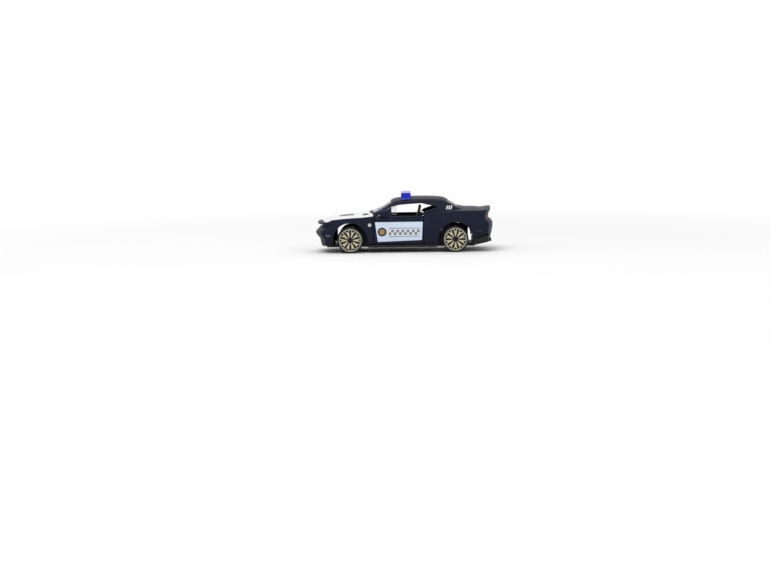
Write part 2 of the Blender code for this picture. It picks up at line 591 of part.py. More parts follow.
def interior():
    """Interior moulding: floor tray, dashboard, two seats, rear bench, door hinge keepers."""
    low = FLOOR_TOP + GAP
    floor = low + 1.0
    x0 = NOSE + 0.327 * LENGTH
    x1 = REAR_X - 2.3
    tail = REAR_X - TYRE_RADIUS - 1.0
    tub = box(x0, tail, -TUB_HALF, TUB_HALF, low, floor + 2.2)
    cut(tub, box(x0 + 1.0, tail - 1.0, -TUB_HALF + 0.8, TUB_HALF - 0.8, floor, floor + 5))
    dash_top = BELT_HEIGHT - 1.5
    dash = [(x0, floor - 0.2), (x0 + 4.4, floor - 0.2), (x0 + 4.8, dash_top - 3.0),
            (x0 + 5.6, dash_top - 2.3), (x0 + 5.4, dash_top - 0.3), (x0 + 3.5, dash_top),
            (x0, dash_top - 0.1)]
    join(tub, prism(dash, "Y", -TUB_HALF, TUB_HALF))
    wall_y = WHEEL_IN - 1.0
    join(tub, box(FRONT_X + 3.0, x0 + 1.0, -wall_y, wall_y, low, dash_top - 2.5))
    seat = along(0.545)
    top = BELT_HEIGHT + 3.4
    for sign in (-1, 1):
        y0, y1 = sorted((sign * 2.2, sign * (TUB_HALF - 1.2)))
        join(tub, box(seat - 5.2, seat + 1.2, y0, y1, floor - 0.2, floor + 3.2))
        back = [(seat - 0.4, floor + 2.8), (seat + 1.6, floor + 2.8), (seat + 3.6, top - 2.9),
                (seat + 2.5, top - 2.9)]
        join(tub, prism(back, "Y", y0, y1))
        mid = (y0 + y1) / 2
        rest = [(seat + 2.35, top - 3.2), (seat + 3.3, top - 3.2), (seat + 4.0, top), (seat + 3.1, top)]
        join(tub, prism(rest, "Y", mid - 1.7, mid + 1.7))
        keep_top = DOOR_BOTTOM + ARM_HEIGHT + 1.1
        y0, y1 = sorted((sign * (TUB_HALF - 0.5), sign * (HINGE_Y + 0.25)))
        join(tub, box(HINGE_X - 0.5, HINGE_X + 1.5, y0, y1, DOOR_BOTTOM + ARM_HEIGHT + GAP, keep_top))
        y0, y1 = sorted((sign * (TUB_HALF - 0.8), sign * TUB_HALF))
        join(tub, box(HINGE_X - 0.5, HINGE_X + 1.5, y0, y1, floor, keep_top))
    shelf = RIVET_XS[1] - POST_RADIUS - 2 * GAP
    shelf_z = BELT_HEIGHT - 1.6
    bench = [(x1 - 7.0, floor - 0.2), (x1 - 7.0, floor + 3.6), (x1 - 3.0, floor + 3.4), (x1 - 1.2, shelf_z),
             (shelf, shelf_z), (shelf, shelf_z - 0.9), (x1, shelf_z - 1.0), (x1, floor - 0.2)]
    join(tub, prism(bench, "Y", -WHEEL_IN + 1.3, WHEEL_IN - 1.3))
    cut(tub, rod("X", -0.52 * TUB_HALF, dash_top - 1.2, 0.4 + GAP, x0 + 4.0, x0 + 9.0, 12))
    return tub


def steering_wheel():
    """Rim, cross spoke and column; the column enters the dashboard."""
    x = NOSE + 0.327 * LENGTH + 7.0
    z = BELT_HEIGHT - 2.7
    y = -0.52 * TUB_HALF
    ring = lathe(circle(1.75, 0.0, 0.3, 5), 14)
    join(ring, box(-1.7, 1.7, -0.2, 0.2, -0.25, 0.25))
    join(ring, rod("Y", 0.0, 0.0, 0.55, -0.25, 0.35, 12))
    ring.data.transform(Matrix.Translation((x, y, z)) @ Matrix.Rotation(math.radians(-18), 4, "Y")
                        @ Matrix.Rotation(math.radians(90), 4, "Z"))
    join(ring, rod("X", y, z, 0.4, x - 2.4, x, 12))
    return ring


def screen(front):
    """Clear screen: a flange inside the shell and a step into the opening, sunk at the rear."""
    seat = WALL + 1.5 * GAP
    sunk = GAP if front else 0.8 * WALL
    back = seat + 0.7
    foot = BELT_HEIGHT - 4.0
    flange = keep(roof_solid(seat, foot, ROOF_STATIONS[::2]), screen_cutter(front, 0.7))
    step = keep(roof_solid(sunk, foot), screen_cutter(front, -GAP))
    join(flange, step)
    return cut(flange, roof_solid(back, foot, ROOF_STATIONS[::2]))


def light_bar():
    """Lens block on two pegs; its underside follows the roof."""
    bar = box(BAR_X - BAR_LENGTH / 2, BAR_X + BAR_LENGTH / 2, -BAR_SPAN / 2, BAR_SPAN / 2,
              ROOF_HEIGHT - 3.0, ROOF_HEIGHT + BAR_ABOVE_ROOF)
    bm = bmesh.new()
    bm.from_mesh(bar.data)
    bmesh.ops.bevel(bm, geom=list(bm.edges), offset=0.45, segments=2, affect="EDGES")
    bm.to_mesh(bar.data)
    bm.free()
    cut(bar, roof_solid(-GAP, BELT_HEIGHT - 4.0))
    for sign in (-1, 1):
        join(bar, rod("Z", BAR_X, sign * BAR_PEG, 0.7, ROOF_HEIGHT - 2.2, ROOF_HEIGHT + 0.6, 14))
    return bar


def axle():
    return rod("Y", 0.0, 0.0, AXLE_RADIUS, -WHEEL_OUT + 1.9, WHEEL_OUT - 1.9, 16)


def wheel_ring(outline, sign, count=24):
    """Turn (radius, depth) points; depth runs inward from the wheel's outer face."""
    return lathe([(r, sign * (WHEEL_OUT - t)) for r, t in outline], count)


def tyre(sign):
    """Wheel body: seat for the insert, rounded tread shoulders, hollow back and axle boss."""
    seat = RIM_RADIUS + RIM_LIP
    return wheel_ring([(0.0, 1.0), (seat, 1.0), (seat, 0.2), (0.5 * (seat + TYRE_RADIUS), 0.06),
                       (TYRE_RADIUS, 0.45), (TYRE_RADIUS, TYRE_WIDTH - 0.4), (RIM_RADIUS - 0.5, TYRE_WIDTH),
                       (RIM_RADIUS - 0.5, 2.2), (1.7, 2.2), (1.7, 3.7), (AXLE_RADIUS + GAP, 3.7),
                       (AXLE_RADIUS + GAP, 1.6), (0.0, 1.6)], sign)


def rim(sign, first_slot):
    """Wheel insert: ten split spokes, tapered slots and a round hole in each fork, about an open hub."""
    lip = RIM_RADIUS
    face = wheel_ring([(HUB_HOLE, 0.7), (HUB_HOLE, 0.32), (0.9 * lip, 0.2), (0.94 * lip, 0.0), (lip, 0.1),
                       (lip, 0.7)], sign, 3 * SPOKES)
    y0, y1 = sorted((sign * (WHEEL_OUT + 1), sign * (WHEEL_OUT - 1.5)))
    near = 0.31 * lip
    middle = 0.66 * lip
    far = 0.80 * lip
    wide = 0.115 * lip
    slot = [(near, -0.4 * wide), (middle, -wide), (far, -0.5 * wide), (far, 0.5 * wide), (middle, wide),
            (near, 0.4 * wide)]
    for i in range(SPOKES):
        angle = first_slot + 2 * math.pi * i / SPOKES
        c = math.cos(angle)
        s = math.sin(angle)
        cut(face, prism([(a * c - b * s, a * s + b * c) for a, b in slot], "Y", y0, y1))
        half = angle + math.pi / SPOKES
        r = 0.83 * lip
        hole = rod("Y", r * math.cos(half), r * math.sin(half), 0.105 * lip, y0, y1, 6, half + math.pi / 6)
        cut(face, hole)
    return face


def grille():
    """Dark bar insert between the lamps."""
    depth = GRILLE_DEPTH - GAP
    low = GRILLE_LOW + GAP
    high = GRILLE_HIGH - GAP
    bar = band(True, depth, depth - 0.9, -0.5 * HALF, 0.5 * HALF, low, high)
    for i in range(9):
        y = (i - 4) * 0.108 * HALF
        x = NOSE + depth - 0.45 + plan_shift(y, True)
        cut(bar, box(NOSE - 1, x, y - 0.28, y + 0.28, low + 0.25, high - 0.25))
    return bar


def headlamp(sign):
    """Twin round lamps on one backing strip."""
    depth = GRILLE_DEPTH - GAP
    low = GRILLE_LOW + GAP
    high = GRILLE_HIGH - GAP
    y0, y1 = sorted((sign * 0.535 * HALF, sign * 0.85 * HALF))
    lamp = band(True, depth, depth - 0.8, y0, y1, low, high)
    for f in (0.605, 0.76):
        y = sign * f * HALF
        x = NOSE + depth + plan_shift(y, True)
        join(lamp, rod("X", y, (low + high) / 2, 0.42, x - 1.4, x - 0.4, 12))
    return lamp


def tail_lamp(sign):
    y0, y1 = sorted((sign * (0.17 * HALF + GAP), sign * (0.82 * HALF - GAP)))
    return band(False, LAMP_SET + 0.85 - GAP, LAMP_SET - 0.05, y0, y1, LAMP_LOW + GAP, LAMP_HIGH - GAP)


def rivet(x):
    """Fixing rivet: head in the base recess, shank in the body post."""
    head_top = FLOOR_Z + 0.55 - GAP
    head = rod("Z", x, 0.0, RIVET_HEAD, FLOOR_Z - 0.35, head_top, 16)
    return join(head, rod("Z", x, 0.0, RIVET_RADIUS, head_top - 0.2, FLOOR_TOP + 3.0, 12))


def main():
    for obj in list(bpy.data.objects):
        bpy.data.objects.remove(obj)
    navy = material("navy_paint", (0.016, 0.021, 0.042), 0.35, 0.0)
    black = material("black_plastic", (0.012, 0.012, 0.013), 0.55, 0.0)
    clear = material("clear_plastic", (0.85, 0.88, 0.9), 0.05, 0.0, 0.25)
    blue = material("blue_lens", (0.01, 0.02, 0.62), 0.15, 0.0)
    gold = material("champagne_rim", (0.62, 0.57, 0.40), 0.35, 0.7)
    rubber = material("black_tyre", (0.014, 0.014, 0.014), 0.8, 0.0)
    steel = material("steel", (0.55, 0.55, 0.56), 0.3, 1.0)
    silver = material("lamp_lens", (0.7, 0.72, 0.74), 0.15, 0.0)
    red = material("red_lens", (0.45, 0.01, 0.012), 0.2, 0.0)

    finish(body_shell(), "body_shell", navy)
    for side, sign in (("left", -1), ("right", 1)):
        finish(door(sign), side + "_door", navy, (HINGE_X, sign * HINGE_Y, DOOR_BOTTOM))
        finish(headlamp(sign), side + "_headlamp", silver)
        finish(tail_lamp(sign), side + "_tail_lamp", red)
    finish(chassis(), "chassis", black)
    finish(interior(), "interior", black)
    finish(steering_wheel(), "steering_wheel", black)
    finish(screen(True), "windscreen", clear)
    finish(screen(False), "rear_screen", clear)
    finish(light_bar(), "light_bar", blue)
    finish(grille(), "grille", black)
    for end, x, first in (("front", FRONT_X, math.pi / 2), ("rear", REAR_X, math.pi / 2 + math.pi / SPOKES)):
        centre = (x, 0.0, AXLE_Z)
        pieces = [(axle(), end + "_axle", steel)]
        for side, sign in (("left", -1), ("right", 1)):
            pieces.append((tyre(sign), end + "_" + side + "_tyre", rubber))
            pieces.append((rim(sign, first), end + "_" + side + "_rim", gold))
        for obj, name, mat in pieces:
            obj.data.transform(Matrix.Translation(centre))
            finish(obj, name, mat, centre, True)
    for end, x in zip(("front", "rear"), RIVET_XS):
        finish(rivet(x), end + "_rivet", steel)


main()
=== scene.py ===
import math
from contextlib import contextmanager
from functools import partialmethod
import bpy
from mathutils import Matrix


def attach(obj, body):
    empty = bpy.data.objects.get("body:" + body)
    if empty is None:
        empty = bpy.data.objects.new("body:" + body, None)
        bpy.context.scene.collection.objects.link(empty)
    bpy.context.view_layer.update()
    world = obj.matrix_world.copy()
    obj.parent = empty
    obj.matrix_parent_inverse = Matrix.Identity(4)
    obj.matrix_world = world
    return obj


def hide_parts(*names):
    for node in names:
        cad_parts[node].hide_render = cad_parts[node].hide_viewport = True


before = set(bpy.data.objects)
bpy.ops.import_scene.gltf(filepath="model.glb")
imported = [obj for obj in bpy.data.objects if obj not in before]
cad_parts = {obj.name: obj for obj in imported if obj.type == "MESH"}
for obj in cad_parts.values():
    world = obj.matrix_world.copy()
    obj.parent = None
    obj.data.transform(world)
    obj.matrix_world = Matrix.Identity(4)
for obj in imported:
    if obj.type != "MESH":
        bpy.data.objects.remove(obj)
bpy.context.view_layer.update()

from types import SimpleNamespace

import bmesh
import bpy
import numpy as np
from mathutils import Matrix, Vector

bl_info = {
    "name": "Toy Police Coupe",
    "version": (1, 0, 0),
    "blender": (4, 5, 0),
    "location": "View3D > Sidebar > Toy Car",
    "description": "Dresses a die-cast toy police coupe with smooth panels, paint, lamps and wheels",
    "category": "Object",
}

# Values used in more than one place, lengths in millimetres

HOOD_TAPER = (-36.8, -28.0, 11.6, 12.8)  # the half breadth of the hood grows between two places
HOOD_BOW = 0.012                         # bow of its rear line, per square of the breadth
HOOD_SLIT = (-27.5, -21.6, 5.3, 5.85)    # front, back, inner and outer edge
HOOD_VENT = (-16.45, 7.4, 1.35, 1.6)     # centre and half sizes
SHOULDER = 6                             # place of the shoulder in a half section of the lower body
END_SHARE = 0.10                         # share of the length over which each end is shaped
CLEAR_PLASTIC_IOR = 1.49
PANEL_INPUTS = ("Along", "Up", "Left", "Right", "Bottom", "Top", "Corner", "Lean Left", "Lean Right", "Rise")


# Settings

def length_setting(label, note, default):
    """Property for a length in metres."""
    return bpy.props.FloatProperty(name=label, description=note, default=default, unit="LENGTH", precision=5)


def angle_setting(label, note, degrees):
    """Property for an angle given in degrees."""
    return bpy.props.FloatProperty(name=label, description=note, default=math.radians(degrees), subtype="ANGLE")


def colour_setting(label, note, default):
    """Property for a colour."""
    return bpy.props.FloatVectorProperty(name=label, description=note, default=default, size=3,
                                         subtype="COLOR", min=0.0, max=1.0)


class ToyCarSizes(bpy.types.PropertyGroup):
    """Main sizes of the toy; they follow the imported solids."""

    length: length_setting("Length", "Nose to tail", 0.0765)
    width: length_setting("Width", "Body width without mirrors", 0.0288)
    roof: length_setting("Roof height", "Ground to roof", 0.0235)
    belt: length_setting("Belt height", "Ground to window sill", 0.0159)
    wall: length_setting("Wall", "Thickness of the casting", 0.001)
    gap: length_setting("Gap", "Clearance between pieces", 0.0003)
    tyre_radius: length_setting("Tyre radius", "Centre to tread", 0.00556)
    tyre_width: length_setting("Tyre width", "Across the tread", 0.0042)
    rim_radius: length_setting("Rim radius", "Wheel insert", 0.0049)
    edge: length_setting("Edge rounding", "Radius on the edges of the casting", 0.00009)


class ToyCarPaint(bpy.types.PropertyGroup):
    """Colours of the finishes."""

    navy: colour_setting("Navy", "Body enamel", (0.0115, 0.0145, 0.030))
    white: colour_setting("White", "Hood enamel", (0.85, 0.86, 0.89))
    print: colour_setting("Print white", "White of the door panels", (0.68, 0.77, 0.92))
    tan: colour_setting("Tan", "Printed band on the doors", (0.27, 0.22, 0.17))
    champagne: colour_setting("Champagne", "Wheel inserts", (0.58, 0.54, 0.38))
    blue: colour_setting("Blue", "Light bar lens", (0.012, 0.025, 0.62))
    black: colour_setting("Black", "Base and interior plastic", (0.011, 0.011, 0.012))


class ToyCarStage(bpy.types.PropertyGroup):
    """Camera and light."""

    distance: length_setting("Distance", "Camera to car", 0.70)
    elevation: angle_setting("Elevation", "Height angle of the camera at the car", 4.3)
    roll: angle_setting("Roll", "Turn of the picture about the line of sight", 0.79)
    view_width: length_setting("View width", "Width of the picture at the car", 0.3278)
    aim_x: length_setting("Aim along", "Where the picture's centre falls along the car", -0.0085)
    aim_z: length_setting("Aim height", "Where the picture's centre falls in height", -0.01535)


# Shapes as arrays, in millimetres

def sizes():
    """Settings in millimetres, with the positions that follow from them."""
    p = bpy.context.scene.toy_car_sizes
    d = SimpleNamespace(**{key: getattr(p, key) * 1000 for key in (
        "length", "width", "roof", "belt", "wall", "gap", "tyre_radius", "tyre_width", "rim_radius", "edge")})
    d.nose = -d.length / 2
    d.tail = d.length / 2
    d.half = d.width / 2
    d.beyond = d.half + 4
    d.front_x = d.nose + 0.1987 * d.length
    d.rear_x = d.front_x + 0.5869 * d.length
    d.axle_z = d.tyre_radius
    d.arch = d.tyre_radius + 1.8
    d.wheel_out = d.half - 0.4
    d.door_x0 = d.nose + 0.3314 * d.length
    d.door_x1 = d.door_x0 + 0.2758 * d.length
    d.door_low = 3.7
    d.door_top = d.belt - d.gap
    d.skin = 0.968 * d.half
    d.door_depth = 2.1
    d.hinge_x = d.door_x0 + d.door_depth
    d.hinge_y = d.skin - d.door_depth
    d.sweep = 2.8
    d.part_top = d.belt - 1.7
    d.rise = d.roof - d.belt
    d.roof_foot = 0.875 * d.half
    d.tumble = 0.50
    d.bar_half = 2.1
    d.bar_x = d.nose + 0.4843 * d.length + d.bar_half
    d.peg_y = 5.58
    d.floor_top = d.door_low - d.gap
    d.posts = (d.front_x - 7.6, d.rear_x + 3.9)
    return d


def at(d, fraction):
    """Distance behind the nose as a fraction of the length."""
    return d.nose + d.length * fraction


def smooth_curve(points):
    """Monotone cubic through control points: slopes are harmonic means of the neighbouring chords."""
    xs, ys = np.array(points, dtype=float).T
    h = np.diff(xs)
    chord = np.diff(ys) / h
    slope = np.concatenate([chord[:1], np.zeros(len(xs) - 2), chord[-1:]])
    a = 2 * h[1:] + h[:-1]
    b = h[1:] + 2 * h[:-1]
    rising = chord[:-1] * chord[1:] > 0
    left = np.where(rising, chord[:-1], 1.0)
    right = np.where(rising, chord[1:], 1.0)
    slope[1:-1] = np.where(rising, (a + b) / (a / left + b / right), 0.0)

    def value(x):
        x = np.clip(x, xs[0], xs[-1])
        k = np.clip(np.searchsorted(xs, x) - 1, 0, len(h) - 1)
        t = (x - xs[k]) / h[k]
        s = 1 - t
        return ((1 + 2 * t) * s * s * ys[k] + t * s * s * h[k] * slope[k]
                + t * t * (3 - 2 * t) * ys[k + 1] - t * t * s * h[k] * slope[k + 1])

    return value


def body_curves(d):
    """Width, lower edge, crease, shoulder, crown, bulge and roof along the car; nose and tail by height."""
    def curve(*pairs, base=0.0, unit=1.0):
        return smooth_curve([(at(d, f), base + unit * v) for f, v in pairs])

    b = d.belt
    c = SimpleNamespace()
    c.half = curve((0.0, 0.905), (0.06, 0.96), (0.19, 0.985), (0.34, 0.962), (0.60, 0.968), (0.79, 1.0),
                   (0.92, 0.985), (1.0, 0.95), unit=d.half)
    c.low = curve((0.0, d.door_low + 0.5), (0.10, d.door_low + 0.5), (0.14, d.door_low), (0.85, d.door_low),
                  (0.885, 5.5), (0.97, 7.2), (1.0, 7.5))
    c.crease = curve((0.0, 8.7), (0.10, 9.8), (0.5, 10.9), (0.9, 11.4), (1.0, 11.4))
    c.shoulder = curve((0.0, -3.0), (0.066, -2.3), (0.088, -1.85), (0.133, -1.4), (0.222, -0.9), (0.266, -0.72),
                       (0.33, -0.2), (0.60, 0.3), (0.70, 1.3), (0.80, 1.75), (0.95, 1.8), (1.0, 2.0), base=b)
    c.crown = curve((0.0, -2.8), (0.025, -2.3), (0.045, -1.8), (0.10, -0.5), (0.18, 0.5), (0.30, 0.9),
                    (0.60, 1.0), (0.83, 2.9), (0.90, 2.75), (0.945, 2.4), (0.98, 2.85), (1.0, 2.9), base=b)
    c.bulge = curve((0.03, 0.0), (0.07, 0.4), (0.25, 0.55), (0.29, 0.0), (0.31, 0.0))
    c.nose = smooth_curve([(3.0, 2.2), (5.2, 1.95), (6.6, 1.2), (8.7, 0.0), (9.8, 0.7), (10.8, 1.8),
                           (11.6, 1.4), (12.5, 1.0), (16.0, 0.9)])
    c.tail = smooth_curve([(4.5, 1.1), (9.2, 0.3), (10.7, 0.05), (12.0, 0.0), (12.8, 0.3), (14.2, 1.9),
                           (16.0, 1.75), (17.5, 1.1), (19.5, 1.0)])
    r = d.rise
    c.roof = curve((0.29, b + 0.2), (0.305, b + 1.1), (0.375, b + 0.468 * r), (0.42, b + 0.737 * r),
                   (0.443, b + 0.865 * r), (0.466, b + 0.92 * r), (0.557, b + 0.995 * r), (0.60, d.roof),
                   (0.67, b + 0.98 * r), (0.716, b + 0.934 * r), (0.739, b + 0.842 * r), (0.784, b + 0.618 * r),
                   (0.807, b + 0.49 * r), (0.829, b + 0.41 * r), (0.85, b + 2.5))
    return c


BODY_STATIONS = (0.0, 0.015, 0.035, 0.06, 0.085, 0.115, 0.15, 0.185, 0.22, 0.25, 0.275, 0.295, 0.325, 0.37,
                 0.44, 0.52, 0.60, 0.66, 0.72, 0.78, 0.82, 0.855, 0.885, 0.915, 0.94, 0.96, 0.98, 1.0)
INNER_STATIONS = (0.10, 0.15, 0.22, 0.275, 0.325, 0.44, 0.60, 0.72, 0.82, 0.885, 0.93, 0.955)
ROOF_STATIONS = (0.29, 0.305, 0.34, 0.375, 0.40, 0.42, 0.443, 0.466, 0.50, 0.55, 0.60, 0.64, 0.67, 0.694, 0.716,
                 0.739, 0.762, 0.784, 0.807, 0.829, 0.85)


def refined(d, fractions, steps):
    """Stations with every span divided into equal steps."""
    n = len(fractions)
    spread = np.interp(np.linspace(0, n - 1, steps * (n - 1) + 1), np.arange(n), fractions)
    return at(d, spread)


def rounded_section(y, z, steps):
    """Half sections on a Catmull-Rom curve; the centre end is mirrored, the foot end runs on straight."""
    p = np.stack([y, z], axis=-1)
    start = 2 * p[:, :1] - p[:, 1:2]
    end = p[:, -2:-1] * np.array([-1.0, 1.0])
    q = np.concatenate([start, p, end], axis=1)
    t = np.linspace(0, 1, steps, endpoint=False)[None, None, :, None]
    a, b, c, e = (q[:, k:k + p.shape[1] - 1, None, :] for k in range(4))
    out = 0.5 * (2 * b + (c - a) * t + (2 * a - 5 * b + 4 * c - e) * t ** 2 + (3 * b - a - 3 * c + e) * t ** 3)
    out = np.concatenate([out.reshape(len(p), -1, 2), p[:, -1:]], axis=1)
    return out[..., 0], out[..., 1]


def grid_faces(rows, cols, wrap=False):
    """Quads of a grid of points, row by row."""
    i = np.arange(rows - 1)[:, None]
    j = np.arange(cols if wrap else cols - 1)[None, :]
    k = (j + 1) % cols
    return np.stack(np.broadcast_arrays(i * cols + j, i * cols + k, (i + 1) * cols + k, (i + 1) * cols + j),
                    axis=-1).reshape(-1, 4)


def grid_points(x, y, z):
    """Points of three grids of coordinates, row by row."""
    return np.stack([x.ravel(), y.ravel(), z.ravel()], axis=1)


def round_angles(count):
    """Equal angles round a circle."""
    return np.linspace(0, 2 * math.pi, count, endpoint=False)


@contextmanager
def editing(mesh):
    """Open a mesh for editing and write it back."""
    bm = bmesh.new()
    bm.from_mesh(mesh)
    yield bm
    bm.to_mesh(mesh)
    bm.free()


def full_ring(x, y, z):
    """Both halves of each section: left foot, over the centre, right foot."""
    return (np.concatenate([x, x[:, -2::-1]], axis=1), np.concatenate([-y, y[:, -2::-1]], axis=1),
            np.concatenate([z, z[:, -2::-1]], axis=1))


def mesh_object(name, parts):
    """Object from parts with points and faces; shared edges are merged and faces turned outwards."""
    points = np.concatenate([np.asarray(part[0], dtype=float) for part in parts])
    faces = []
    base = 0
    for part in parts:
        for group in part[1:]:
            faces.extend((np.asarray(group) + base).tolist())
        base += len(part[0])
    mesh = bpy.data.meshes.new(name)
    mesh.from_pydata(points.tolist(), [], faces)
    obj = bpy.data.objects.new(name, mesh)
    bpy.context.scene.collection.objects.link(obj)
    with editing(mesh) as bm:
        bmesh.ops.remove_doubles(bm, verts=bm.verts, dist=0.0008)
        bmesh.ops.dissolve_degenerate(bm, edges=bm.edges, dist=0.0005)
        bmesh.ops.triangulate(bm, faces=[f for f in bm.faces if len(f.verts) > 4])
        bmesh.ops.recalc_face_normals(bm, faces=bm.faces)
    return obj


def nose_bow(d, y):
    """How far the nose falls back at a breadth: a power of the share of the half width."""
    return 3.9 * np.abs(y / d.half) ** 2.6


def tail_bow(d, y):
    """How far the tail falls back at a breadth, in the same way."""
    return 2.6 * np.abs(y / d.half) ** 3


def lower_body(d, c, fractions, steps, turns, inset, drop):
    """Lower body: half sections of twelve points, mirrored; the ends fall back with height and breadth."""
    x0 = refined(d, fractions, steps)
    w = c.half(x0) - inset
    b = c.low(x0) - drop
    k = c.crease(x0)
    s = c.shoulder(x0) - inset
    hump = c.bulge(x0)
    flat = c.crown(x0) - inset - hump
    edge = w - 1.2
    y = [w - 1.1, w - 0.5, w - 0.2, w, w - 0.3, w - 0.65, edge, 0.74 * w, 0.42 * d.half + 0 * w,
         0.37 * d.half + 0 * w, 0.18 * d.half + 0 * w, 0 * w]
    z = [b, b + 0.9 + 0.3 * drop, (b + drop) * 0.5 + k * 0.5, k, (k + s) * 0.5, s - 0.4, s]
    z += [s + (flat - s) * (1 - (row / edge) ** 2) + hump * lift
          for row, lift in zip(y[SHOULDER + 1:], (0, 0, 1, 1, 1))]
    y, z = rounded_section(np.stack(y, axis=1), np.stack(z, axis=1), turns)
    front = np.clip((at(d, END_SHARE) - x0) / (END_SHARE * d.length), 0, 1)[:, None]
    rear = np.clip((x0 - at(d, 1 - END_SHARE)) / (END_SHARE * d.length), 0, 1)[:, None]

    def nose_shift(yy, zz):
        return c.nose(zz) + nose_bow(d, yy)

    def tail_shift(yy, zz):
        return -c.tail(zz) - tail_bow(d, yy)

    x = x0[:, None] + front * nose_shift(y, z) + rear * tail_shift(y, z)
    fx, fy, fz = full_ring(x, y, z)
    rows, ring = fx.shape
    parts = [(grid_points(fx, fy, fz), grid_faces(rows, ring, True))]
    side = SHOULDER * turns
    across = ring - 2 * side
    for row, shift in ((0, nose_shift), (rows - 1, tail_shift)):
        share = y[row, :side + 1, None] / y[row, side]
        cy = fy[row, side:side + across][None, :] * share
        cz = np.repeat(z[row, :side + 1, None], across, axis=1)
        cz[-1] = fz[row, side:side + across]
        cx = x0[row] + shift(cy, cz)
        cx[:, 0] = cx[:, -1] = x[row, :side + 1]
        cx[-1] = fx[row, side:side + across]
        parts.append((grid_points(cx, cy, cz), grid_faces(side + 1, across), np.arange(across)[None, :]))
    return mesh_object("lower", parts)


def cabin(d, c, steps, turns, inset, foot_z):
    """Cabin: sides lean in from the belt, a superellipse-like roof closes them, both screens bow in plan."""
    x0 = refined(d, ROOF_STATIONS, steps)
    slope = np.gradient(c.roof(x0), x0)
    top = c.roof(x0) - inset * np.sqrt(1 + slope ** 2)
    foot = d.roof_foot * (1 - 0.10 * np.clip((x0 - at(d, 0.62)) / (0.24 * d.length), 0, 1)) - inset * 1.12
    rail = np.maximum(top - 0.30 * d.rise * np.clip((top - foot_z) / d.rise, 0.15, 1), foot_z + 0.3)

    def side(z):
        return foot - d.tumble * np.maximum(z - d.belt, 0)

    middle = foot_z + 0.45 * (rail - foot_z)
    y = [foot, side(middle), side(rail)]
    z = [foot_z + 0 * x0, middle, rail]
    y += [side(rail) * f for f in (0.96, 0.86, 0.68, 0.38, 0.0)]
    z += [rail + (top - rail) * g for g in (0.36, 0.62, 0.80, 0.945, 1.0)]
    y, z = rounded_section(np.stack(y, axis=1), np.stack(z, axis=1), turns)
    ends = np.interp(x0, [at(d, 0.29), at(d, 0.48), at(d, 0.64), at(d, 0.85)], [1.4, 0.0, 0.0, -0.9])
    x = x0[:, None] + ends[:, None] * (y / d.half) ** 2 * 1.6
    x[0] += inset * 1.6
    x[-1] -= inset * 1.6
    fx, fy, fz = full_ring(x, y, z)
    rows, ring = fx.shape
    caps = np.stack([np.arange(ring), (rows - 1) * ring + np.arange(ring)[::-1]])
    return mesh_object("cabin", [(grid_points(fx, fy, fz), grid_faces(rows, ring, True), caps)])


def prism(outline, axis, start, end):
    """An outline carried along one axis between two places."""
    flat = np.asarray(outline, dtype=float)
    n = len(flat)
    order = {"X": (2, 0, 1), "Y": (0, 2, 1), "Z": (0, 1, 2)}[axis]
    ends = np.concatenate([np.column_stack([flat, np.full(n, t)]) for t in (start, end)])
    return mesh_object("prism", [(ends[:, order], grid_faces(2, n, True), np.arange(n)[None, :],
                                  n + np.arange(n)[None, ::-1])])


def rod(axis, a, b, radius, start, end, count=48):
    """A circle carried along one axis."""
    t = round_angles(count)
    return prism(np.column_stack([a + radius * np.cos(t), b + radius * np.sin(t)]), axis, start, end)


def block(x0, x1, y0, y1, z0, z1):
    """A box between two places on each axis."""
    return prism([(x0, y0), (x1, y0), (x1, y1), (x0, y1)], "Z", z0, z1)


def rounded_outline(points, radius, steps=5):
    """Polygon with its corners replaced by quadratic curves that leave the sides a radius before them."""
    p = np.asarray(points, dtype=float)
    before = np.roll(p, 1, axis=0) - p
    after = np.roll(p, -1, axis=0) - p
    lb = np.linalg.norm(before, axis=1, keepdims=True)
    la = np.linalg.norm(after, axis=1, keepdims=True)
    a = p + before / lb * np.minimum(radius, 0.45 * lb)
    b = p + after / la * np.minimum(radius, 0.45 * la)
    t = np.linspace(0, 1, steps)[None, :, None]
    return ((1 - t) ** 2 * a[:, None] + 2 * t * (1 - t) * p[:, None] + t ** 2 * b[:, None]).reshape(-1, 2)


def turned(profile, count, centre, sign):
    """A closed profile of radius and depth turned about a cross axis; depth runs inward from the wheel face."""
    r, depth = np.asarray(profile, dtype=float).T
    t = round_angles(count)[:, None]
    x = centre[0] + r * np.cos(t)
    z = centre[1] + r * np.sin(t)
    y = np.broadcast_to(sign * (centre[2] - depth), x.shape)
    faces = grid_faces(count + 1, len(r), True)
    return mesh_object("ring", [(grid_points(x, y, z), faces % (count * len(r)))])


# Working on meshes

def combine(target, other, operation):
    """Exact Boolean whose result becomes the target's mesh."""
    modifier = target.modifiers.new("Boolean", "BOOLEAN")
    modifier.object = other
    modifier.operation = operation
    modifier.solver = "EXACT"
    shape = bpy.data.meshes.new_from_object(target.evaluated_get(bpy.context.evaluated_depsgraph_get()))
    target.modifiers.clear()
    target.data = shape
    bpy.data.objects.remove(other)
    if not len(shape.polygons):
        raise RuntimeError("a cut left nothing of " + target.name)
    return target


def cut(target, *others):
    """Take the others out of the target, in turn."""
    for other in others:
        combine(target, other, "DIFFERENCE")
    return target


def join(target, *others):
    """Add the others to the target, in turn."""
    for other in others:
        combine(target, other, "UNION")
    return target


def keep(target, other):
    """Leave only what both share."""
    return combine(target, other, "INTERSECT")


def copy_of(obj):
    """Twin with a mesh of its own."""
    twin = obj.copy()
    twin.data = obj.data.copy()
    bpy.context.scene.collection.objects.link(twin)
    return twin


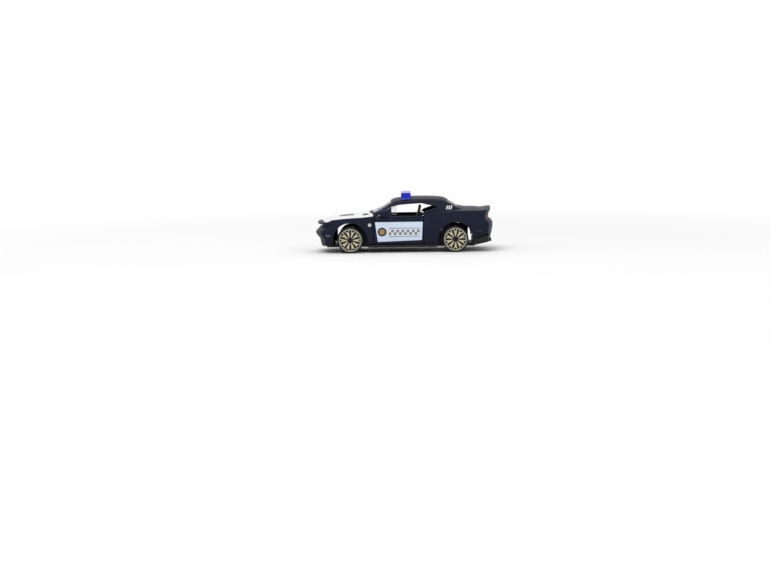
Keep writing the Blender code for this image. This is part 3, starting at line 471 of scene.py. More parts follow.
def move_points(obj, change):
    """Pass all points through a function of an array."""
    co = np.empty(len(obj.data.vertices) * 3)
    obj.data.vertices.foreach_get("co", co)
    obj.data.vertices.foreach_set("co", np.ascontiguousarray(change(co.reshape(-1, 3))).ravel())
    obj.data.update()
    return obj


def mirrored(obj):
    """Copy on the other side of the car, faces turned back outwards."""
    twin = move_points(copy_of(obj), lambda p: p * np.array([1.0, -1.0, 1.0]))
    twin.data.flip_normals()
    return twin


def round_edges(obj, width, angle=38.0):
    """Small radius on sharp edges after stray short edges are merged."""
    limit = math.radians(angle)
    with editing(obj.data) as bm:
        bmesh.ops.remove_doubles(bm, verts=bm.verts, dist=0.25 * width)
        bmesh.ops.dissolve_degenerate(bm, edges=bm.edges, dist=0.1 * width)
        sharp = [e for e in bm.edges if len(e.link_faces) == 2 and e.calc_face_angle(0.0) > limit]
        bmesh.ops.bevel(bm, geom=sharp, offset=width, segments=2, profile=0.6, affect="EDGES",
                        clamp_overlap=True)
        bmesh.ops.remove_doubles(bm, verts=bm.verts, dist=0.002)
        bmesh.ops.dissolve_degenerate(bm, edges=bm.edges, dist=0.002)
    return obj


def place(obj, name, body, nodes, finish, smooth=35.0):
    """Bring a piece to metres, smooth it, colour it and set it on its body in place of its solids."""
    move_points(obj, lambda p: p * 0.001)
    obj.name = name
    obj.data.name = name
    obj.data.materials.clear()
    obj.data.materials.append(finish_of(finish))
    obj.data.polygons.foreach_set("use_smooth", np.ones(len(obj.data.polygons), dtype=bool))
    obj.data.set_sharp_from_angle(angle=math.radians(smooth))
    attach(obj, body)
    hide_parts(*nodes)
    return obj


# Finishes

class Nodes:
    """A node tree with a short call for each kind of node; an argument is a socket to link or a constant."""

    def __init__(self, tree):
        self.tree = tree

    def feed(self, socket, value):
        """Link a socket or set a constant."""
        if isinstance(value, bpy.types.NodeSocket):
            self.tree.links.new(value, socket)
        else:
            socket.default_value = value

    def add(self, kind, inputs=None, **settings):
        """Node with its settings, constants and links."""
        node = self.tree.nodes.new("ShaderNode" + kind)
        for key, value in settings.items():
            setattr(node, key, value)
        for key, value in (inputs or {}).items():
            self.feed(node.inputs[key], value)
        return node

    def use(self, shared, inputs):
        """Outputs of a shared group."""
        return self.add("Group", inputs, node_tree=shared).outputs

    def maths(self, operation, a, b=0.0, c=0.0):
        """Result of one sum; the calls below are named after theirs."""
        return self.add("Math", {0: a, 1: b, 2: c}, operation=operation).outputs[0]

    plus = partialmethod(maths, "ADD")
    minus = partialmethod(maths, "SUBTRACT")
    times = partialmethod(maths, "MULTIPLY")
    line = partialmethod(maths, "MULTIPLY_ADD")
    least = partialmethod(maths, "SMOOTH_MIN")
    most = partialmethod(maths, "MAXIMUM")
    size = partialmethod(maths, "ABSOLUTE")

    def squares(self, a, b):
        """Sum of two squares."""
        return self.plus(self.maths("POWER", a, 2.0), self.maths("POWER", b, 2.0))

    def ramp(self, value, low, high, out_low=0.0, out_high=1.0):
        """Smooth step between two values."""
        return self.add("MapRange", {0: value, 1: low, 2: high, 3: out_low, 4: out_high},
                        interpolation_type="SMOOTHSTEP").outputs[0]

    def mix(self, factor, a, b):
        """Blend of two colours."""
        a, b = (v if isinstance(v, bpy.types.NodeSocket) else (*v, 1.0) for v in (a, b))
        return self.add("Mix", {0: factor, 6: a, 7: b}, data_type="RGBA").outputs[2]

    def noise(self, coord, scale, detail, roughness=0.5):
        """Cloudy noise between 0 and 1."""
        return self.add("TexNoise", {"Vector": coord, "Scale": scale, "Detail": detail,
                                     "Roughness": roughness}).outputs[0]

    def parts(self, vector):
        """The three parts of a vector."""
        return self.add("SeparateXYZ", {0: vector}).outputs

    def normal(self):
        """The three parts of the surface normal."""
        return self.parts(self.add("NewGeometry").outputs["Normal"])


def shared_group(name, inputs, outputs, build):
    """Shader group made once: named sockets and the nodes that build puts between them."""
    found = bpy.data.node_groups.get(name)
    if found:
        return found
    tree = bpy.data.node_groups.new(name, "ShaderNodeTree")
    for label, kind, default in inputs:
        socket = tree.interface.new_socket(label, in_out="INPUT", socket_type="NodeSocket" + kind)
        if default is not None:
            socket.default_value = default
    for label in outputs:
        tree.interface.new_socket(label, in_out="OUTPUT", socket_type="NodeSocketFloat")
    made = build(Nodes(tree), tree.nodes.new("NodeGroupInput").outputs)
    ends = tree.nodes.new("NodeGroupOutput").inputs
    for label, socket in zip(outputs, made):
        tree.links.new(socket, ends[label])
    return tree


def grain_group():
    """Fine surface grain: two noises give a height and a roughness change."""
    def build(n, i):
        broad = n.noise(i["Vector"], n.times(i["Scale"], 0.09), 4.0)
        return (n.noise(i["Vector"], i["Scale"], 2.0),
                n.line(n.minus(broad, 0.5), i["Variation"], i["Roughness"]))

    inputs = [("Vector", "Vector", None), ("Scale", "Float", 4000.0), ("Roughness", "Float", 0.3),
              ("Variation", "Float", 0.08)]
    return shared_group("Fine Grain", inputs, ("Height", "Roughness"), build)


def dust_group():
    """Handling dust: patchy noise that is denser on faces that look up."""
    def build(n, i):
        patch = n.ramp(n.noise(i["Vector"], 420.0, 6.0, 0.65), 0.42, 0.78)
        facing = n.ramp(n.normal()[2], -0.2, 1.0, 0.35, 1.0)
        return (n.times(n.times(patch, facing), i["Amount"]),)

    inputs = [("Vector", "Vector", None), ("Amount", "Float", 0.1)]
    return shared_group("Handling Dust", inputs, ("Mask",), build)


def panel_group():
    """Four-sided printed panel: inside all four edges, corners rounded, sides leaning and the foot rising."""
    def build(n, i):
        drop = n.minus(i["Top"], i["Up"])
        left = n.minus(i["Along"], i["Left"])
        right = n.minus(i["Right"], i["Along"])
        low = n.minus(n.minus(i["Up"], i["Bottom"]), n.times(left, i["Rise"]))
        left = n.minus(left, n.times(drop, i["Lean Left"]))
        right = n.minus(right, n.times(drop, i["Lean Right"]))
        corner = i["Corner"]
        both = n.least(n.least(left, right, corner), n.least(low, drop, corner), corner)
        return (n.ramp(both, -0.03, 0.05),)

    return shared_group("Printed Panel", [(name, "Float", 0.0) for name in PANEL_INPUTS], ("Mask",), build)


class Finish(Nodes):
    """New material with its shader and object coordinates, in metres as coord and in millimetres as x, y, z."""

    def __init__(self, name):
        self.material = bpy.data.materials.new(name)
        self.material.use_nodes = True
        super().__init__(self.material.node_tree)
        self.shader = self.tree.nodes["Principled BSDF"]
        self.coord = self.add("TexCoord").outputs["Object"]
        scaled = self.add("VectorMath", {0: self.coord, "Scale": 1000.0}, operation="SCALE").outputs[0]
        self.x, self.y, self.z = self.parts(scaled)

    def give(self, values):
        """Constants or links on the shader's own sockets."""
        for key, value in values.items():
            self.feed(self.shader.inputs[key], value)

    def surface(self, scale, roughness, variation, bump, height=None):
        """Grain on roughness and bump; an extra height joins the bump."""
        grain = self.use(grain_group(), {"Vector": self.coord, "Scale": scale, "Roughness": roughness,
                                         "Variation": variation})
        level = grain["Height"] if height is None else self.line(grain["Height"], 0.12, height)
        node = self.add("Bump", {"Height": level, "Strength": bump, "Distance": 0.00006})
        self.give({"Roughness": grain["Roughness"], "Normal": node.outputs[0]})

    def panel(self, *values):
        """Mask of a printed panel; values follow its inputs, and the leans and the rise may be left out."""
        return self.use(panel_group(), dict(zip(PANEL_INPUTS, values)))["Mask"]

    def dusted(self, amount, colour, dust):
        """A colour under handling dust."""
        mask = self.use(dust_group(), {"Vector": self.coord, "Amount": amount})["Mask"]
        return self.mix(mask, colour, dust)


def paint():
    """The colour settings."""
    return bpy.context.scene.toy_car_paint


def shaded(colour, factor):
    """A colour made darker or lighter."""
    return tuple(factor * v for v in colour)


def body_prints(f, breadth, colour, pale):
    """White hood between bowed lines, dark slits and vents, three pillar bars, side lamps and a silver dot."""
    x, y, z = f.x, f.y, f.z
    square = f.times(y, y)
    front = f.line(square, 0.0125, -35.2)
    back = f.line(square, HOOD_BOW, -15.0)
    inside = f.least(f.minus(x, front), f.minus(back, x), 0.6)
    inside = f.least(inside, f.minus(f.ramp(x, *HOOD_TAPER), breadth), 0.6)
    above = f.minus(z, f.line(x, 0.12, 17.0))
    hood = f.times(f.ramp(inside, -0.03, 0.05), f.ramp(above, -0.1, 0.1))
    colour = f.mix(hood, colour, pale)

    mid_x, mid_y, half_x, half_y = HOOD_VENT
    oval = f.squares(f.line(x, 1 / half_x, -mid_x / half_x), f.line(breadth, 1 / half_y, -mid_y / half_y))
    vent = f.most(f.panel(x, breadth, *HOOD_SLIT, 0.1), f.ramp(oval, 1.04, 0.98))
    colour = f.mix(f.times(vent, f.ramp(z, 14.0, 14.2)), colour, (0.012, 0.013, 0.017))

    lean = f.line(z, -0.25, x)
    wave = f.maths("WRAP", f.minus(lean, 13.4), 0.92, 0.0)
    bars = f.times(f.ramp(wave, 0.0, 0.05), f.ramp(wave, 0.58, 0.53))
    patch = f.panel(lean, z, 13.35, 16.1, 18.15, 19.7, 0.05)
    colour = f.mix(f.times(f.times(bars, patch), f.ramp(breadth, 7.0, 7.2)), colour, pale)

    outer = f.ramp(breadth, 10.0, 10.4)
    for edges, lamp in (((-33.5, -31.5, 7.2, 8.0), (0.13, 0.13, 0.12)),
                        ((30.7, 33.4, 8.85, 9.2), (0.06, 0.055, 0.07))):
        colour = f.mix(f.times(f.panel(x, z, *edges, 0.15), outer), colour, lamp)
    silver = f.times(f.ramp(f.squares(f.plus(x, 14.7), f.minus(z, 12.0)), 0.58, 0.48), outer)
    f.give({"Metallic": f.times(silver, 0.5)})
    return f.mix(silver, colour, (0.50, 0.54, 0.58)), hood


def door_prints(f, breadth, colour, pale):
    """White panel with checks between two rules and a ringed disc, on faces that look outwards."""
    x, y, z = f.x, f.y, f.z
    outward = f.ramp(f.times(f.normal()[1], f.maths("SIGN", y)), 0.0, 0.2)
    outside = f.times(f.ramp(breadth, 12.4, 12.6), outward)
    sheet = f.panel(x, z, -12.4, 7.95, 4.7, 13.2, 0.3, 0.13, 0.055, 0.035)
    sheet = f.times(sheet, outside)
    colour = f.mix(sheet, colour, pale)

    flat = f.add("CombineXYZ", {0: x, 1: z, 2: 0.5}).outputs[0]
    checks = f.add("TexChecker", {"Vector": flat, "Scale": 1.0 / 1.1, "Color1": (1, 1, 1, 1),
                                  "Color2": (0, 0, 0, 1)}).outputs[1]
    ends = (-6.6, 6.6)
    ink = f.times(checks, f.panel(x, z, *ends, 7.7, 9.9, 0.02))
    for low, high in ((6.9, 7.2), (10.4, 10.7)):
        ink = f.most(ink, f.panel(x, z, *ends, low, high, 0.02))
    ring = f.maths("SQRT", f.squares(f.plus(x, 9.4), f.minus(z, 9.0)))
    for mask, tint in ((ink, tuple(paint().tan)), (f.ramp(ring, 1.95, 1.87), (0.06, 0.035, 0.03)),
                       (f.ramp(ring, 1.25, 1.18), (0.36, 0.25, 0.13))):
        colour = f.mix(f.times(mask, outside), colour, tint)
    return colour, sheet


def enamel(name, base, prints):
    """Gloss enamel: navy with its prints and dust."""
    f = Finish(name)
    navy = tuple(paint().navy)
    white = tuple(base)
    breadth = f.size(f.y)
    tone = f.ramp(f.noise(f.coord, 160.0, 3.0), 0.35, 0.7)
    colour = f.mix(tone, shaded(navy, 0.9), shaded(navy, 1.12))
    pale = f.mix(tone, shaded(white, 0.985), white)
    colour, printed = prints(f, breadth, colour, pale)
    f.give({"Base Color": f.dusted(0.03, colour, (0.35, 0.34, 0.33)), "Specular IOR Level": 0.08})
    f.surface(2600.0, 0.42, 0.10, 0.08, f.times(printed, 0.35))
    return f.material


def plastic(name, colour, roughness, scale, bump, dust):
    """Moulded plastic with a fine spark-eroded grain and dust."""
    f = Finish(name)
    patch = f.ramp(f.noise(f.coord, 300.0, 4.0), 0.3, 0.7)
    tone = f.mix(patch, shaded(colour, 0.8), shaded(colour, 1.3))
    f.give({"Base Color": f.dusted(dust, tone, (0.25, 0.24, 0.23)), "Specular IOR Level": 0.2})
    f.surface(scale, roughness, 0.18, bump)
    return f.material


def plated(name, colour, metallic, roughness, scale, face=None):
    """Plated or sprayed metal with fine sparkle; a face given as a breadth gets painted shade, darker the
    deeper a point lies below that face.
    """
    f = Finish(name)
    speck = f.noise(f.coord, 2200.0, 3.0)
    tone = f.mix(f.ramp(speck, 0.3, 0.75), shaded(colour, 0.85), shaded(colour, 1.05))
    if face is not None:
        depth = f.minus(face, f.size(f.y))
        tone = f.mix(f.ramp(depth, 0.15, 0.12), tone, (0.36, 0.35, 0.30))
        # painted shade: the colour turns dark with depth below the wheel face, standing in for shade in the
        # lows between the spokes
        painted_shade = f.ramp(f.line(speck, 0.05, depth), 0.20, 0.42, 0.0, 0.92)
        tone = f.mix(painted_shade, tone, (0.030, 0.026, 0.016))
    f.give({"Base Color": tone, "Metallic": metallic})
    f.surface(scale, roughness, 0.15, 0.2)
    return f.material


def tinted_lens(name, colour, transmission, roughness, gloss):
    """Coloured translucent plastic with a faint flow pattern, and a painted paler highlight at the foot of the
    light bar.
    """
    f = Finish(name)
    flow = f.ramp(f.noise(f.coord, 260.0, 3.0), 0.3, 0.7)
    tone = f.mix(flow, shaded(colour, 0.85), colour)
    # painted highlight: the lens is paler blue at its foot above the roof, standing in for light caught there
    foot = f.times(f.ramp(f.z, 23.5, 22.8), f.ramp(f.z, 20.0, 20.2))
    tone = f.mix(f.times(foot, 0.45), tone, (0.14, 0.22, 0.80))
    f.give({"Base Color": tone, "Transmission Weight": transmission, "IOR": CLEAR_PLASTIC_IOR,
            "Specular IOR Level": gloss})
    f.surface(1800.0, roughness, 0.06, 0.08)
    return f.material


def clear_screen(name):
    """Clear moulding: mostly see-through, with a painted sheen that makes it denser and greyer where an upward
    face is seen edge on, faint haze.
    """
    f = Finish(name)
    haze = f.ramp(f.noise(f.coord, 500.0, 5.0), 0.35, 0.75)
    edge = f.add("LayerWeight", {"Blend": 0.5}).outputs["Facing"]
    # painted sheen: grey colour grows opaque at grazing angles on upward faces, standing in for a reflection of
    # the sky
    painted_sheen = f.times(f.maths("POWER", edge, 3.0), f.ramp(f.normal()[2], 0.0, 0.2))
    f.give({"Base Color": f.mix(haze, (0.34, 0.36, 0.39), (0.40, 0.42, 0.45)),
            "Alpha": f.line(painted_sheen, 0.85, 0.06), "IOR": CLEAR_PLASTIC_IOR})
    f.surface(900.0, 0.05, 0.03, 0.01)
    return f.material


def finish_of(name):
    """Each finish is made once."""
    found = bpy.data.materials.get(name)
    if found:
        return found
    p = paint()
    black = tuple(p.black)
    maker, *values = {
        "Body Enamel": (enamel, p.white, body_prints),
        "Door Enamel": (enamel, p.print, door_prints),
        "Base Plastic": (plastic, black, 0.48, 3000.0, 0.30, 0.10),
        "Cabin Plastic": (plastic, black, 0.55, 2600.0, 0.35, 0.06),
        "Tyre Plastic": (plastic, shaded(black, 0.8), 0.42, 3500.0, 0.2, 0.08),
        "Grille Plastic": (plastic, black, 0.4, 3000.0, 0.2, 0.04),
        "Champagne Plate": (plated, tuple(p.champagne), 0.7, 0.3, 3000.0, 14.0),
        "Lamp Silver": (plated, (0.72, 0.74, 0.76), 0.7, 0.18, 2400.0),
        "Axle Steel": (plated, (0.52, 0.52, 0.53), 1.0, 0.3, 3200.0),
        "Blue Lens": (tinted_lens, tuple(p.blue), 0.2, 0.16, 0.12),
        "Red Lens": (tinted_lens, (0.13, 0.003, 0.004), 0.05, 0.3, 0.05),
        "Clear Screen": (clear_screen,),
    }[name]
    return maker(name, *values)


# Body casting

def raw_shell(d, c):
    """Outer body less the same forms set in by the wall."""
    outer = join(lower_body(d, c, BODY_STATIONS, 4, 4, 0.0, 0.0), cabin(d, c, 4, 5, 0.0, d.belt - 2.2))
    hollow = join(lower_body(d, c, INNER_STATIONS, 2, 2, d.wall, 6.0), cabin(d, c, 2, 2, d.wall, d.belt - 4.0))
    return cut(outer, hollow)


def window_outline(d):
    """Side window: up the screen pillar, under the roof, back to a pointed quarter light."""
    pairs = ((0.356, 0.0), (0.428, 0.474), (0.471, 0.566), (0.505, 0.60), (0.598, 0.651), (0.629, 0.575),
             (0.6914, 0.449), (0.663, 0.355), (0.6354, 0.265), (0.609, 0.165), (0.5965, 0.0))
    return [(at(d, f), d.belt + g * d.rise) for f, g in pairs]


def screen_cutter(d, front, grow):
    """Screen opening seen along the car, its foot dropping towards the sides, carried through the pillars."""
    middle = d.belt + (1.35 if front else 3.25) - grow
    low = middle - (0.4 if front else 0.55)
    high = d.belt + (0.76 if front else 0.80) * d.rise + grow
    foot = d.roof_foot * (1.0 if front else 0.93)
    a = foot - d.tumble * (low - d.belt) - 1.3 + grow
    b = foot - d.tumble * (high - d.belt) - 1.9 + grow
    outline = rounded_outline([(-a, low), (0.0, middle), (a, low), (b, high), (-b, high)], 0.6)
    back = 2 * min(grow, 0.0)
    if front:
        return prism(outline, "X", at(d, 0.22), at(d, 0.46) + back)
    return prism(outline, "X", at(d, 0.69) - back, at(d, 0.92))


def end_band(d, front, depth, outer, y0, y1, z0, z1):
    """Strip between two depths behind the plan curve of the nose or tail."""
    y = np.linspace(y0, y1, 25)
    sign = 1 if front else -1
    start = d.nose if front else d.tail
    shift = nose_bow(d, y) if front else tail_bow(d, y)
    inside = np.column_stack([start + sign * (depth + shift), y])
    outside = np.column_stack([start + sign * (outer + shift), y])[::-1]
    return prism(np.concatenate([inside, outside]), "Z", z0, z1)


def door_space(d, sign, grow):
    """Leaf, rounded leading edge and belt ledge of one door, widened by grow."""
    inner = d.hinge_y - 0.45
    if grow:
        inner = min(inner - grow, d.roof_foot - 2.2 * d.wall)
    low = d.door_low - (3.0 if grow else 0.0)
    top = d.door_top + 1.25 * grow
    y0, y1 = sorted((sign * inner, sign * d.beyond))
    leaf = block(d.hinge_x, d.door_x1 + grow, y0, y1, low, top)
    if grow:
        join(leaf, rod("Z", d.hinge_x, sign * d.hinge_y, d.sweep + grow, low, d.part_top + grow, 72))
        return join(leaf, rod("Z", d.hinge_x, sign * d.hinge_y, 1.6 + grow, d.part_top, top, 40))
    lip = d.skin - 1.1
    t = np.linspace(0, math.acos((lip - d.hinge_y) / d.sweep), 24)
    arc = np.column_stack([d.hinge_x - d.sweep * np.sin(t), sign * (d.hinge_y + d.sweep * np.cos(t))])
    head = [(d.hinge_x + 0.5, sign * lip), (d.hinge_x + 0.5, sign * d.beyond), (d.hinge_x, sign * d.beyond)]
    return join(leaf, prism(np.concatenate([head, arc]), "Z", low, d.part_top))


def ribbon(path, width):
    """Outline of a thin line: the path moved half a width to each side along its normals."""
    p = np.asarray(path, dtype=float)
    t = np.gradient(p, axis=0)
    n = np.column_stack([-t[:, 1], t[:, 0]]) / np.linalg.norm(t, axis=1, keepdims=True) * width / 2
    return np.concatenate([p + n, (p - n)[::-1]])


def mark_skin(d, c, shell):
    """Hood slits, vents and shut lines: outlines carried down to the lower body set in by a small depth."""
    line_width, line_depth, slit_depth, vent_depth = 0.14, 0.13, 0.22, 0.30
    y = np.linspace(-12.0, 12.0, 33)
    corners = [(25.6, -9.9), (34.6, -9.5), (34.6, 9.5), (25.6, 9.9)]
    turns = 9
    lid = np.concatenate([corners[:1], rounded_outline(corners, 1.6, turns)[turns:-turns], corners[-1:]])
    marks = [(ribbon(np.column_stack([-14.9 + HOOD_BOW * y ** 2, y]), line_width), line_depth),
             (ribbon(lid, line_width), line_depth)]
    x = np.linspace(-32.0, -13.6, 25)
    x0, x1, narrow, wide = HOOD_TAPER
    share = np.clip((x - x0) / (x1 - x0), 0, 1)
    edge = narrow + (wide - narrow) * share * share * (3 - 2 * share) - 0.12
    front, back, low, high = HOOD_SLIT
    slit = [(front, low), (back, low), (back, high), (front, high)]
    mid_x, mid_y, half_x, half_y = HOOD_VENT
    t = round_angles(32)
    for sign in (-1, 1):
        vent = np.column_stack([mid_x + half_x * np.cos(t), sign * (mid_y + half_y * np.sin(t))])
        marks.append((rounded_outline([(a, sign * b) for a, b in slit], 0.25), slit_depth))
        marks.append((vent, vent_depth))
        marks.append((ribbon(np.column_stack([x, sign * edge]), line_width), line_depth))
    floors = {depth: lower_body(d, c, BODY_STATIONS, 2, 2, depth, 0.0)
              for depth in (line_depth, slit_depth, vent_depth)}
    for outline, depth in marks:
        mark = prism(outline, "Z", d.belt - 3.0, d.belt + 5.0)
        cut(shell, cut(mark, copy_of(floors[depth])))
    for floor in floors.values():
        bpy.data.objects.remove(floor)
    return shell


def make_body(d, c):
    """Shell with its openings and rivet posts, and a copy of the uncut shell for the doors."""
    shell = raw_shell(d, c)
    store = copy_of(shell)
    mark_skin(d, c, shell)
    for x in (d.front_x, d.rear_x):
        cut(shell, rod("Y", x, d.axle_z, d.arch, -d.beyond, d.beyond, 96))
    cut(shell, prism(rounded_outline(window_outline(d), 0.5), "Y", -d.beyond, d.beyond))
    cut(shell, screen_cutter(d, True, 0.0), screen_cutter(d, False, 0.0))
    for front, depth, outer, half, low, high in (
            (True, 4.2, -3.0, 0.875 * d.half, 10.9, 12.4),    # grille and headlamps
            (True, 3.0, -3.0, 0.5 * d.half, 5.3, 6.8),        # lower intake
            (False, 0.5, -2.0, 3.6, 8.9, 11.1),               # plate recess
            (False, 0.3, -2.0, 0.83 * d.half, 12.5, 12.68)):  # bumper seam
        cut(shell, end_band(d, front, depth, outer, -half, half, low, high))
    for sign in (-1, 1):
        cut(shell, door_space(d, sign, d.gap))
        y0, y1 = sorted((sign * 0.17 * d.half, sign * 0.82 * d.half))
        cut(shell, end_band(d, False, 2.75, -2.0, y0, y1, 13.5, 16.0))
        cut(shell, rod("Z", d.bar_x, sign * d.peg_y, 1.0, d.belt, d.roof + 3, 32))
    post, bore = 1.9, 1.1
    for x in d.posts:
        skin = float(np.min(c.crown(np.array([x - post, x + post]))))
        join(shell, rod("Z", x, 0.0, post, d.door_low + 0.65, skin - 0.6 * d.wall, 40))
        cut(shell, rod("Z", x, 0.0, bore, 0.0, d.floor_top + 3.5, 32))
    return shell, store


def make_door(d, store):
    """Left door: skin from the body, quarter-light sail, mirror, handle and hinge arm."""
    leaf = keep(store, door_space(d, -1, 0.0))
    low = d.door_low
    y0, y1 = -(d.skin - 0.6), -d.hinge_y
    arm_top = low + 2.4
    join(leaf, block(d.hinge_x - 0.6, d.hinge_x + 0.6, y0, y1, low, arm_top))
    join(leaf, rod("Z", d.hinge_x, -d.hinge_y, 0.8, low, arm_top, 32))
    join(leaf, rod("Z", d.hinge_x, -d.hinge_y, 0.45, low - 1.0, low + 0.5, 24))
    (foot_x, foot_z), (brow_x, brow_z) = window_outline(d)[:2]

    def under_pillar(x):
        return foot_z + (x - foot_x) * (brow_z - foot_z) / (brow_x - foot_x) - 0.6 * d.gap

    post_x = brow_x - 0.7
    root_x = max(d.hinge_x, foot_x) + 0.9
    sill = d.door_top - 0.4
    sail = prism([(root_x, sill), (brow_x, sill), (brow_x, under_pillar(brow_x)),
                  (post_x, under_pillar(post_x)), (post_x, under_pillar(post_x) - 0.4),
                  (post_x - 0.6, under_pillar(post_x - 0.6)), (root_x, under_pillar(root_x))],
                 "Y", -d.roof_foot, -(d.roof_foot - 0.9))

    def lean_in(p):
        lean = d.tumble * np.maximum(p[:, 2] - d.door_top, 0)
        return p + np.column_stack([0 * lean, lean, 0 * lean])

    move_points(sail, lean_in)
    join(leaf, sail)
    mirror = ((0.0, 0.85), (0.7, 0.15), (3.0, 0.15), (3.2, 2.5), (1.6, 2.6), (0.4, 1.8))
    outline = rounded_outline([(root_x - 0.5 + a, d.door_top + b) for a, b in mirror], 0.5)
    head = prism(outline, "Y", -(d.skin + 1.0), -(d.skin - 0.7))
    join(head, block(root_x + 0.9, root_x + 2.1, -(d.skin - 0.3), -(d.roof_foot - 0.6), d.door_top - 0.2,
                     d.door_top + 0.9))
    join(leaf, head)
    grip = block(d.door_x1 - 3.4, d.door_x1 - 1.6, -(d.skin - 0.05), -(d.skin - 0.8), d.belt - 1.75,
                 d.belt - 1.2)
    return join(leaf, grip)


class TOYCAR_OT_body(bpy.types.Operator):
    """Cast body with its two doors"""

    bl_idname = "toycar.body"
    bl_label = "Body and doors"

    def execute(self, context):
        d = sizes()
        shell, store = make_body(d, body_curves(d))
        place(round_edges(shell, d.edge), "body_casting", "car_body", ["body_shell"],
              "Body Enamel")
        left = round_edges(make_door(d, store), d.edge)
        for side, door in (("left", left), ("right", mirrored(left))):
            place(door, side + "_door_casting", side + "_door_leaf", [side + "_door"],
                  "Door Enamel")
        return {"FINISHED"}


# Wheels

def make_tyre(d, x, sign):
    """Wheel body: rounded tread shoulders, a raised sidewall ring, a hollow back and a bearing boss."""
    seat = d.rim_radius + 0.3
    r = d.tyre_radius
    w = d.tyre_width
    t = np.linspace(0, math.pi / 2, 7)
    outer = [(r - 0.24 + 0.24 * math.sin(a), 0.30 - 0.24 * math.cos(a)) for a in t]
    inner = [(r - 0.3 + 0.3 * math.cos(a), w - 0.3 + 0.3 * math.sin(a)) for a in t]
    back = d.rim_radius - 0.5
    boss, bore = 1.7, 0.9
    profile = [(0.0, 0.74), (0.34, 0.74), (0.46, 0.8), (0.5, 1.0), (seat, 1.0), (seat, 0.14),
               (seat + 0.06, 0.06)]
    profile += outer + inner
    profile += [(back, w), (back, 2.2), (boss, 2.2), (boss, 3.7), (bore, 3.7), (bore, 1.6), (0.0, 1.6)]
    return turned(profile, 96, (x, d.axle_z, d.wheel_out), sign)


def make_rim(d, x, sign, first):
    """Insert: dished ring that swells between the slots by the size of a sine of five turns; ten tapered
    slots, a round hole in each fork and a rolled lip stand about an open hub."""
    lip = d.rim_radius
    count = 10
    t = np.linspace(0, math.pi, 9)
    roll = np.column_stack([0.955 * lip - 0.045 * lip * np.cos(t), 0.14 - 0.14 * np.sin(t)])
    r = np.linspace(0.23, 0.9, 14) * lip
    dish = np.column_stack([r, np.interp(r, [0.23 * lip, 0.9 * lip], [0.40, 0.33])])
    profile = np.concatenate([[(1.0, 0.7), (1.0, 0.44), (1.04, 0.37)], dish, roll, [(lip, 0.7)]])
    face = turned(profile, 180, (x, d.axle_z, d.wheel_out), sign)

    def swell(p):
        a = np.arctan2(p[:, 2] - d.axle_z, p[:, 0] - x)
        reach = np.hypot(p[:, 2] - d.axle_z, p[:, 0] - x) / lip
        window = np.interp(reach, [0.21, 0.34, 0.78, 0.90], [0.0, 1.0, 1.0, 0.0])
        ahead = d.wheel_out - np.abs(p[:, 1]) < 0.5
        rise = 0.21 * np.abs(np.sin(count // 2 * (a - first))) * window * ahead
        return p + np.column_stack([0 * a, sign * rise, 0 * a])

    move_points(face, swell)
    y0, y1 = sorted((sign * (d.wheel_out + 1), sign * (d.wheel_out - 1.5)))
    wide = 0.108 * lip
    slot = rounded_outline([(0.27 * lip, -0.45 * wide), (0.72 * lip, -wide), (0.85 * lip, -0.7 * wide),
                            (0.85 * lip, 0.7 * wide), (0.72 * lip, wide), (0.27 * lip, 0.45 * wide)], 0.3)
    hole = round_angles(24) + 0.07
    for k in range(count):
        a = first + 2 * math.pi * k / count
        turn = np.array([[math.cos(a), math.sin(a)], [-math.sin(a), math.cos(a)]])
        cut(face, prism(slot @ turn + np.array([x, d.axle_z]), "Y", y0, y1))
        b = a + math.pi / count
        spot = np.array([x + 0.83 * lip * math.cos(b), d.axle_z + 0.83 * lip * math.sin(b)])
        cut(face, prism(spot + 0.095 * lip * np.column_stack([np.cos(hole), np.sin(hole)]), "Y", y0, y1))
    return face


class TOYCAR_OT_wheels(bpy.types.Operator):
    """Four tyres and four split-spoke inserts"""

    bl_idname = "toycar.wheels"
    bl_label = "Wheels"

    def execute(self, context):
        d = sizes()
        for end, x, first in (("front", d.front_x, math.pi / 2), ("rear", d.rear_x, 0.6 * math.pi)):
            body = end + "_wheels"
            rim = round_edges(make_rim(d, x, -1, first), 0.05, 50.0)
            for side, sign in (("left", -1), ("right", 1)):
                name = end + "_" + side
                place(make_tyre(d, x, sign), name + "_wheel_body", body, [name + "_tyre"],
                      "Tyre Plastic", 40.0)
                piece = copy_of(rim) if sign < 0 else mirrored(rim)
                place(piece, name + "_insert", body, [name + "_rim"],
                      "Champagne Plate", 40.0)
            bpy.data.objects.remove(rim)
        return {"FINISHED"}


# Screens, light bar and lamps

def make_screen(d, c, front):
    """Clear moulding: a flange inside the shell and a step into the opening, sunk at the rear."""
    seat = d.wall + 1.5 * d.gap
    thickness = 0.7
    sunk = d.gap if front else 0.5 * d.wall
    foot = d.belt - 4.0
    flange = keep(cabin(d, c, 3, 3, seat, foot), screen_cutter(d, front, thickness))
    join(flange, keep(cabin(d, c, 3, 3, sunk, foot), screen_cutter(d, front, -d.gap)))
    return cut(flange, cabin(d, c, 3, 3, seat + thickness, foot))


def make_light_bar(d, c):
    """Lens block with softened edges over the roof, on two pegs."""
    reach = 9.3
    shape = block(d.bar_x - d.bar_half, d.bar_x + d.bar_half, -reach, reach, d.roof - 3.0, d.roof + 1.75)
    with editing(shape.data) as bm:
        bmesh.ops.bevel(bm, geom=list(bm.edges), offset=0.45, segments=5, profile=0.5, affect="EDGES")
    cut(shape, cabin(d, c, 4, 5, -d.gap, d.belt - 4.0))
    for sign in (-1, 1):
        join(shape, rod("Z", d.bar_x, sign * d.peg_y, 0.7, d.roof - 2.2, d.roof + 0.6, 32))
    return shape


